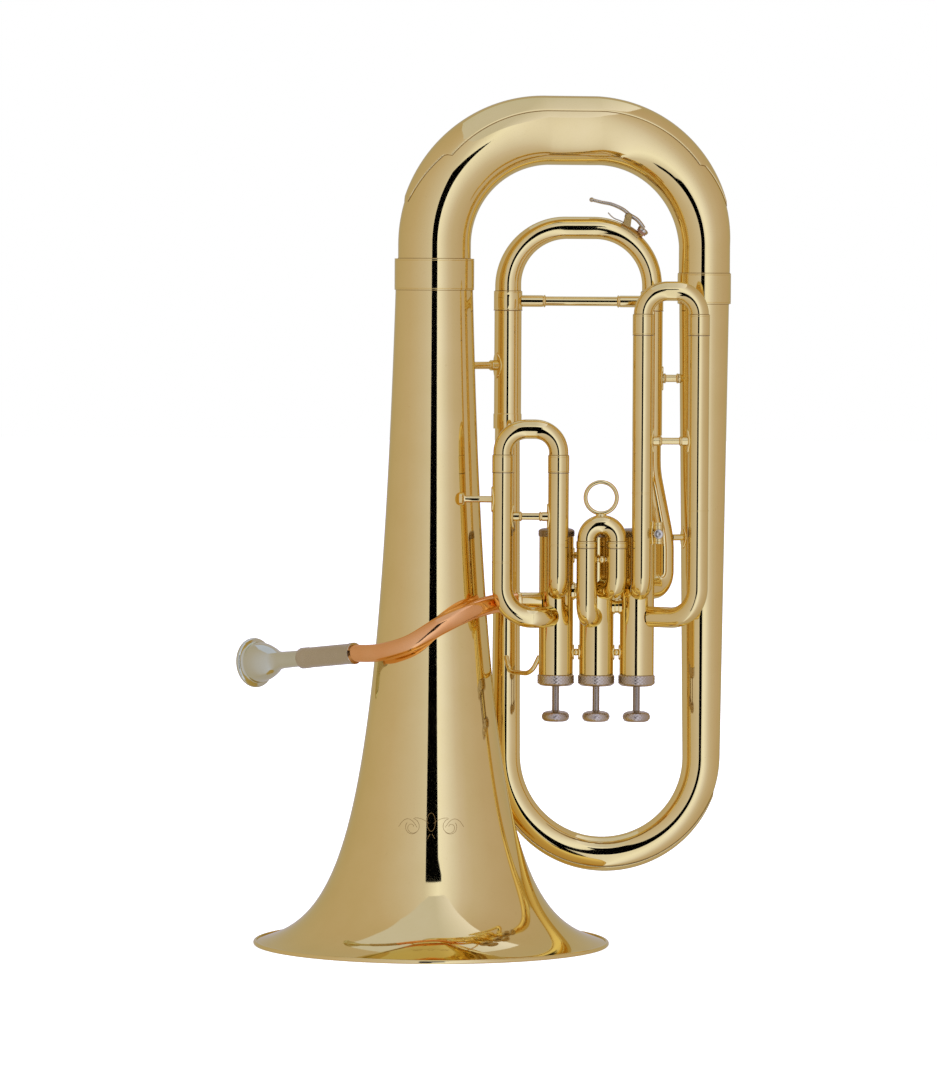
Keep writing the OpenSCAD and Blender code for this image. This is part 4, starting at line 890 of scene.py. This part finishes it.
def make_braces():
    shell = Shell()
    z = 455.0
    bearing = atan2(SMALL.y, SMALL.x)
    flat = Vector((cos(bearing), sin(bearing), 0))
    reach = hypot(SMALL.x, SMALL.y)
    flanged(shell, flat * (bell_radius(z) - 0.6) + UP * z, flat * (reach - 10.5) + UP * z,
            2.9, 0, 4.2, 4.1)
    shell.saddle(SMALL.x, SMALL.y, z, TUNING_LEFT_R, 180 + degrees(bearing), 12, 21)
    z, x0 = 351.7, SLIDES["first"]["x"][0]
    foot = Vector((21.2, -29.5, z))
    flanged(shell, foot, (x0 - SLEEVE_R + 0.4, SLIDE_Y, z), 2.6, 2.2, 0, 5.2)
    shell.saddle(x0, SLIDE_Y, z, SLEEVE_R, 180, 10, 20)
    flanged(shell, (-30.5, -29, 231), (-41, -38.9, 231.4), 3.4)
    shell.piece("bell_braces_turned", BRASS, "horn", ("bell_braces",))

    shell = Shell()
    z = 445.3
    stay(shell, (TUNING_RIGHT_X + 8.3, SMALL.y, z), (BRANCH.x - branch_r(z) + 0.4, SMALL.y, z), 2.9, 3.7, 3)
    shell.saddle(TUNING_RIGHT_X, SMALL.y, z, TUNING_RIGHT_R, 0, 9, 19)
    z = 320.0
    r, outlet, branch = branch_r(z), Vector((*OUTLET_XY, z)), Vector((BRANCH.x, BRANCH.y, z))
    to = (branch - outlet).normalized()
    flanged(shell, outlet + to * 7.4, branch - to * (r - 0.3), 2.5)
    shell.saddle(BRANCH.x, BRANCH.y, z, r, 180 + degrees(atan2(to.y, to.x)), 10, 18)
    shell.piece("branch_braces_turned", BRASS, "horn", ("branch_braces",))


def make_hook_and_lyre():
    v = VALVES[0]
    hook = bent([(v.x - CASING_R + 0.6, v.y, 227.5), (77.5, -2.5, 213.6), (60.5, 18.5, 213.6),
                 (SMALL.x, SMALL.y - 10.6, 225)], (12, 12), 6)
    Shell().tube(hook, 1.9, sides=28).piece("thumb_hook_wire", BRASS, "horn", ("thumb_hook",))
    sleeve_x = SLIDES["third"]["x"][0]
    x, y = sleeve_x + 12.6, SLIDE_Y + 1
    z0, z1 = height_span("lyre_socket")
    screw_z = middle("lyre_screw").z
    shell = Shell()
    shell.lathe([(2.8, z0 + 0.4), (3.2, z0), (4.1, z0), (4.4, z0 + 0.3), (4.4, z0 + 2.0), (4.15, z0 + 2.3),
                 (4.15, z1 - 2.3), (4.4, z1 - 2.0), (4.4, z1 - 0.3), (4.1, z1), (3.2, z1), (2.8, z1 - 0.4)],
                upright(x, y), 48)
    shell.lathe([(1.6, 3.6), (3.2, 3.6), (3.2, 6.7), (3.0, 7.0), (1.6, 7.0)],
                placed((x, y, screw_z), (0, -1, 0)), 36)
    for side in (-0.84, 0.84):
        web = [Vector((end, y + side, z0 + 8.5)) for end in (sleeve_x + 7.6, x - 3.6)]
        shell.tube([(web[0], Vector((1, 0, 0)), 0.0), (web[1], Vector((1, 0, 0)), 1.0)], 2.2, sides=24)
    shell.saddle(sleeve_x, SLIDE_Y, (z0 + z1) / 2, SLEEVE_R, 4, 9, 20)
    shell.piece("lyre_socket_turned", BRASS, "horn", ("lyre_socket",))
    head = ([(0, 3.0), (1.5, 3.0), (1.5, 4.1), (3.2, 4.1), (3.7, 4.5)]
            + [(3.75, 4.7 + 3.2 * k / 8) for k in range(9)] + [(3.5, 8.2), (3.0, 8.5), (1.2, 8.3), (0, 8.3)])
    Shell().lathe(head, placed((x, y - 3.2, screw_z), (0, -1, 0)), 112, closed=False,
                  ripple=knurl(14, 0, 2.4, 0.3, range(5, 14))).piece(
        "lyre_screw_knurled", NICKEL, "lyre_screw", ("lyre_screw",), "nickel_silver", sharp=60)


# ---------- carried-over CAD nodes ----------

def dress(nodes, material):
    """Gives CAD nodes that stay in view their finish."""
    for name in nodes:
        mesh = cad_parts[name].data
        mesh.materials.clear()
        mesh.materials.append(material)


make_bell()
make_engraving()
make_bows()
make_tuning_slide()
make_water_key()
make_valves()
make_sleeves()
make_slides()
make_slide_braces()
make_pull_ring()
make_leadpipe()
make_braces()
make_hook_and_lyre()
make_seams()
dress([f"{name}_inner_tubes" for name in ("tuning", "first_slide", "second_slide", "third_slide")], NICKEL)
dress(["water_key_saddle"], CAST_BRASS)
dress([f"piston_{n}" for n in (1, 2, 3)], STEM)
dress([f"valve_spring_{n}" for n in (1, 2, 3)] + ["water_key_spring"], STEEL)
dress(["cap_felts"], FELT)


# ---------- floor, light and camera ----------

def stage_material(name, colour, glow=0.0, glow_colours=()):
    """A plain surface of the set; two glow colours run from left to right across GLOW_X."""
    material, nodes, links, bsdf = new_material(name)
    bsdf.inputs["Base Color"].default_value = (*colour, 1)
    bsdf.inputs["Roughness"].default_value = 0.9
    bsdf.inputs["Specular IOR Level"].default_value = 0.0
    bsdf.inputs["Emission Color"].default_value = (1, 1, 1, 1)
    if glow_colours:
        where = nodes.new("ShaderNodeTexCoord")
        axes = nodes.new("ShaderNodeSeparateXYZ")
        links.new(where.outputs["Object"], axes.inputs[0])
        across = spread(nodes, links, axes.outputs["X"], 0, 1, *GLOW_X)
        links.new(mix_colours(nodes, links, across, *glow_colours), bsdf.inputs["Emission Color"])
    bsdf.inputs["Emission Strength"].default_value = glow
    return material


def stage_plane(name, corners, material):
    mesh = bpy.data.meshes.new(name)
    mesh.from_pydata(corners, [], [tuple(range(len(corners)))])
    mesh.materials.append(material)
    obj = bpy.data.objects.new(name, mesh)
    bpy.context.scene.collection.objects.link(obj)
    return obj


def area_light(name, place, target, size, power):
    data = bpy.data.lights.new(name, "AREA")
    data.shape, data.size, data.size_y = "RECTANGLE", *size
    data.energy = power
    obj = bpy.data.objects.new(name, data)
    bpy.context.scene.collection.objects.link(obj)
    obj.location = place
    aim = Vector(target) - Vector(place)
    obj.rotation_euler = aim.to_track_quat("-Z", "Y").to_euler()
    obj.visible_camera = False
    return obj


# Soft light all round, as (azimuth from the lens in degrees, colour): brighter towards the lens,
# brightest just right of it. LEVEL scales it against the white of the backdrop.
LEVEL = 0.57
RING = ((-180, (0.90, 0.84, 0.98)),
        (-134, (0.91, 0.83, 0.90)), (-105, (0.93, 0.86, 0.94)), (-74, (0.98, 0.91, 1.07)),
        (-50, (1.03, 1.0, 1.30)), (-26, (1.10, 1.12, 1.63)), (-9, (1.18, 1.26, 1.95)),
        (9, (1.68, 1.92, 3.2)), (20, (1.52, 1.70, 2.9)), (30, (1.31, 1.43, 2.35)),
        (42, (1.13, 1.15, 1.75)), (57, (1.02, 1.0, 1.35)), (85, (0.94, 0.87, 1.08)),
        (110, (0.91, 0.82, 0.97)), (145, (0.88, 0.80, 0.90)), (180, (0.90, 0.84, 0.98)))
PEAK = 3.4                                 # scale that keeps the ramp's colours below 1


def math_node(nodes, links, operation, *values):
    node = nodes.new("ShaderNodeMath")
    node.operation = operation
    for socket, value in zip(node.inputs, values):
        if isinstance(value, (int, float)):
            socket.default_value = value
        else:
            links.new(value, socket)
    return node.outputs[0]


def make_world():
    """White to the camera, the ring of light to everything else."""
    world = bpy.data.worlds.new("studio")
    bpy.context.scene.world = world
    world.use_nodes = True
    nodes, links = world.node_tree.nodes, world.node_tree.links
    where = nodes.new("ShaderNodeTexCoord")
    axes = nodes.new("ShaderNodeSeparateXYZ")
    links.new(where.outputs["Generated"], axes.inputs[0])
    back = math_node(nodes, links, "MULTIPLY", axes.outputs["Y"], -1)
    azimuth = math_node(nodes, links, "ARCTAN2", axes.outputs["X"], back)
    ramp = nodes.new("ShaderNodeValToRGB")
    links.new(math_node(nodes, links, "MULTIPLY_ADD", azimuth, 0.5 / pi, 0.5), ramp.inputs["Fac"])
    stops = ramp.color_ramp.elements
    for k, (angle, colour) in enumerate(RING):
        stop = stops[k] if k < 2 else stops.new(0.5 + angle / 360)
        stop.position = 0.5 + angle / 360
        stop.color = (*(c / PEAK for c in colour), 1)
    seen = nodes.new("ShaderNodeLightPath").outputs["Is Camera Ray"]
    white = 1 / (LEVEL * PEAK)
    shown = mix_colours(nodes, links, seen, ramp.outputs["Color"], (white,) * 3)
    background = nodes["Background"]
    links.new(shown, background.inputs["Color"])
    background.inputs["Strength"].default_value = LEVEL * PEAK


# Places and sizes of the set, in metres
CENTRE_X = 0.0267
FLOOR_HALF, FLOOR_FRONT = 14.0, -2.0
CEILING_Z, GLOW_X = 2.1, (0.15, 0.82)
CEILING = ((-0.1, -1.86), (0.56, -1.86), (0.72, -1.62), (0.84, -0.62), (0.86, 0.1), (0.86, 1.7),
           (-0.86, 1.7), (-0.86, 0.4), (-0.76, -0.66), (-0.4, -1.52))
CEILING_GLOW = ((1.07, 1.19, 1.95), (1.52, 1.70, 3.1))
FLAG_Y = -1.3
FLAG = ((-0.162, -0.9), (0.0, -0.9), (0.03, -0.2), (0.205, 0.05), (0.205, 0.8), (0.30, 1.0), (0.30, 1.11),
        (-0.162, 1.11))
CAMERA_BACK, CAMERA_HEIGHT, CAMERA_DIP, CAMERA_ROLL = 4.7, 0.530, 2.55, -0.3      # metres, degrees
SENSOR_MM, LENS_MM = 36.0, 200.95

floor = stage_plane("floor", [(-FLOOR_HALF, FLOOR_FRONT, 0), (FLOOR_HALF, FLOOR_FRONT, 0),
                              (FLOOR_HALF, FLOOR_HALF, 0), (-FLOOR_HALF, FLOOR_HALF, 0)],
                    stage_material("pale_floor", (0.94, 0.94, 0.935), 0.6))
floor.visible_glossy = False
# The dark opening of the light tent in front of the lens: only reflections show it
flag = stage_plane("tent_opening", [(x, FLAG_Y, z) for x, z in FLAG],
                   stage_material("tent_opening_black", (0, 0, 0)))
flag.visible_camera = flag.visible_diffuse = flag.visible_shadow = False
# The tent's pale ceiling, brighter on the right, seen by reflections alone
ceiling = stage_plane("tent_ceiling", [(x, y, CEILING_Z) for x, y in CEILING],
                      stage_material("tent_ceiling_glow", (0, 0, 0), LEVEL, CEILING_GLOW))
ceiling.visible_camera = ceiling.visible_diffuse = ceiling.visible_shadow = False
make_world()
top_light = area_light("overhead", (0.2, 1.0, 5.0), (CENTRE_X, 1.0, 0.0), (6.0, 6.0), 150)
top_light.visible_glossy = False

camera_data = bpy.data.cameras.new("camera")
camera_data.sensor_fit = "VERTICAL"
camera_data.sensor_height = SENSOR_MM
camera_data.lens = LENS_MM
camera = bpy.data.objects.new("camera", camera_data)
bpy.context.scene.collection.objects.link(camera)
camera.location = (CENTRE_X, -CAMERA_BACK, CAMERA_HEIGHT)
camera.rotation_euler = (radians(90 - CAMERA_DIP), radians(CAMERA_ROLL), 0)
bpy.context.scene.camera = camera
bpy.context.scene.view_settings.view_transform = "Standard"
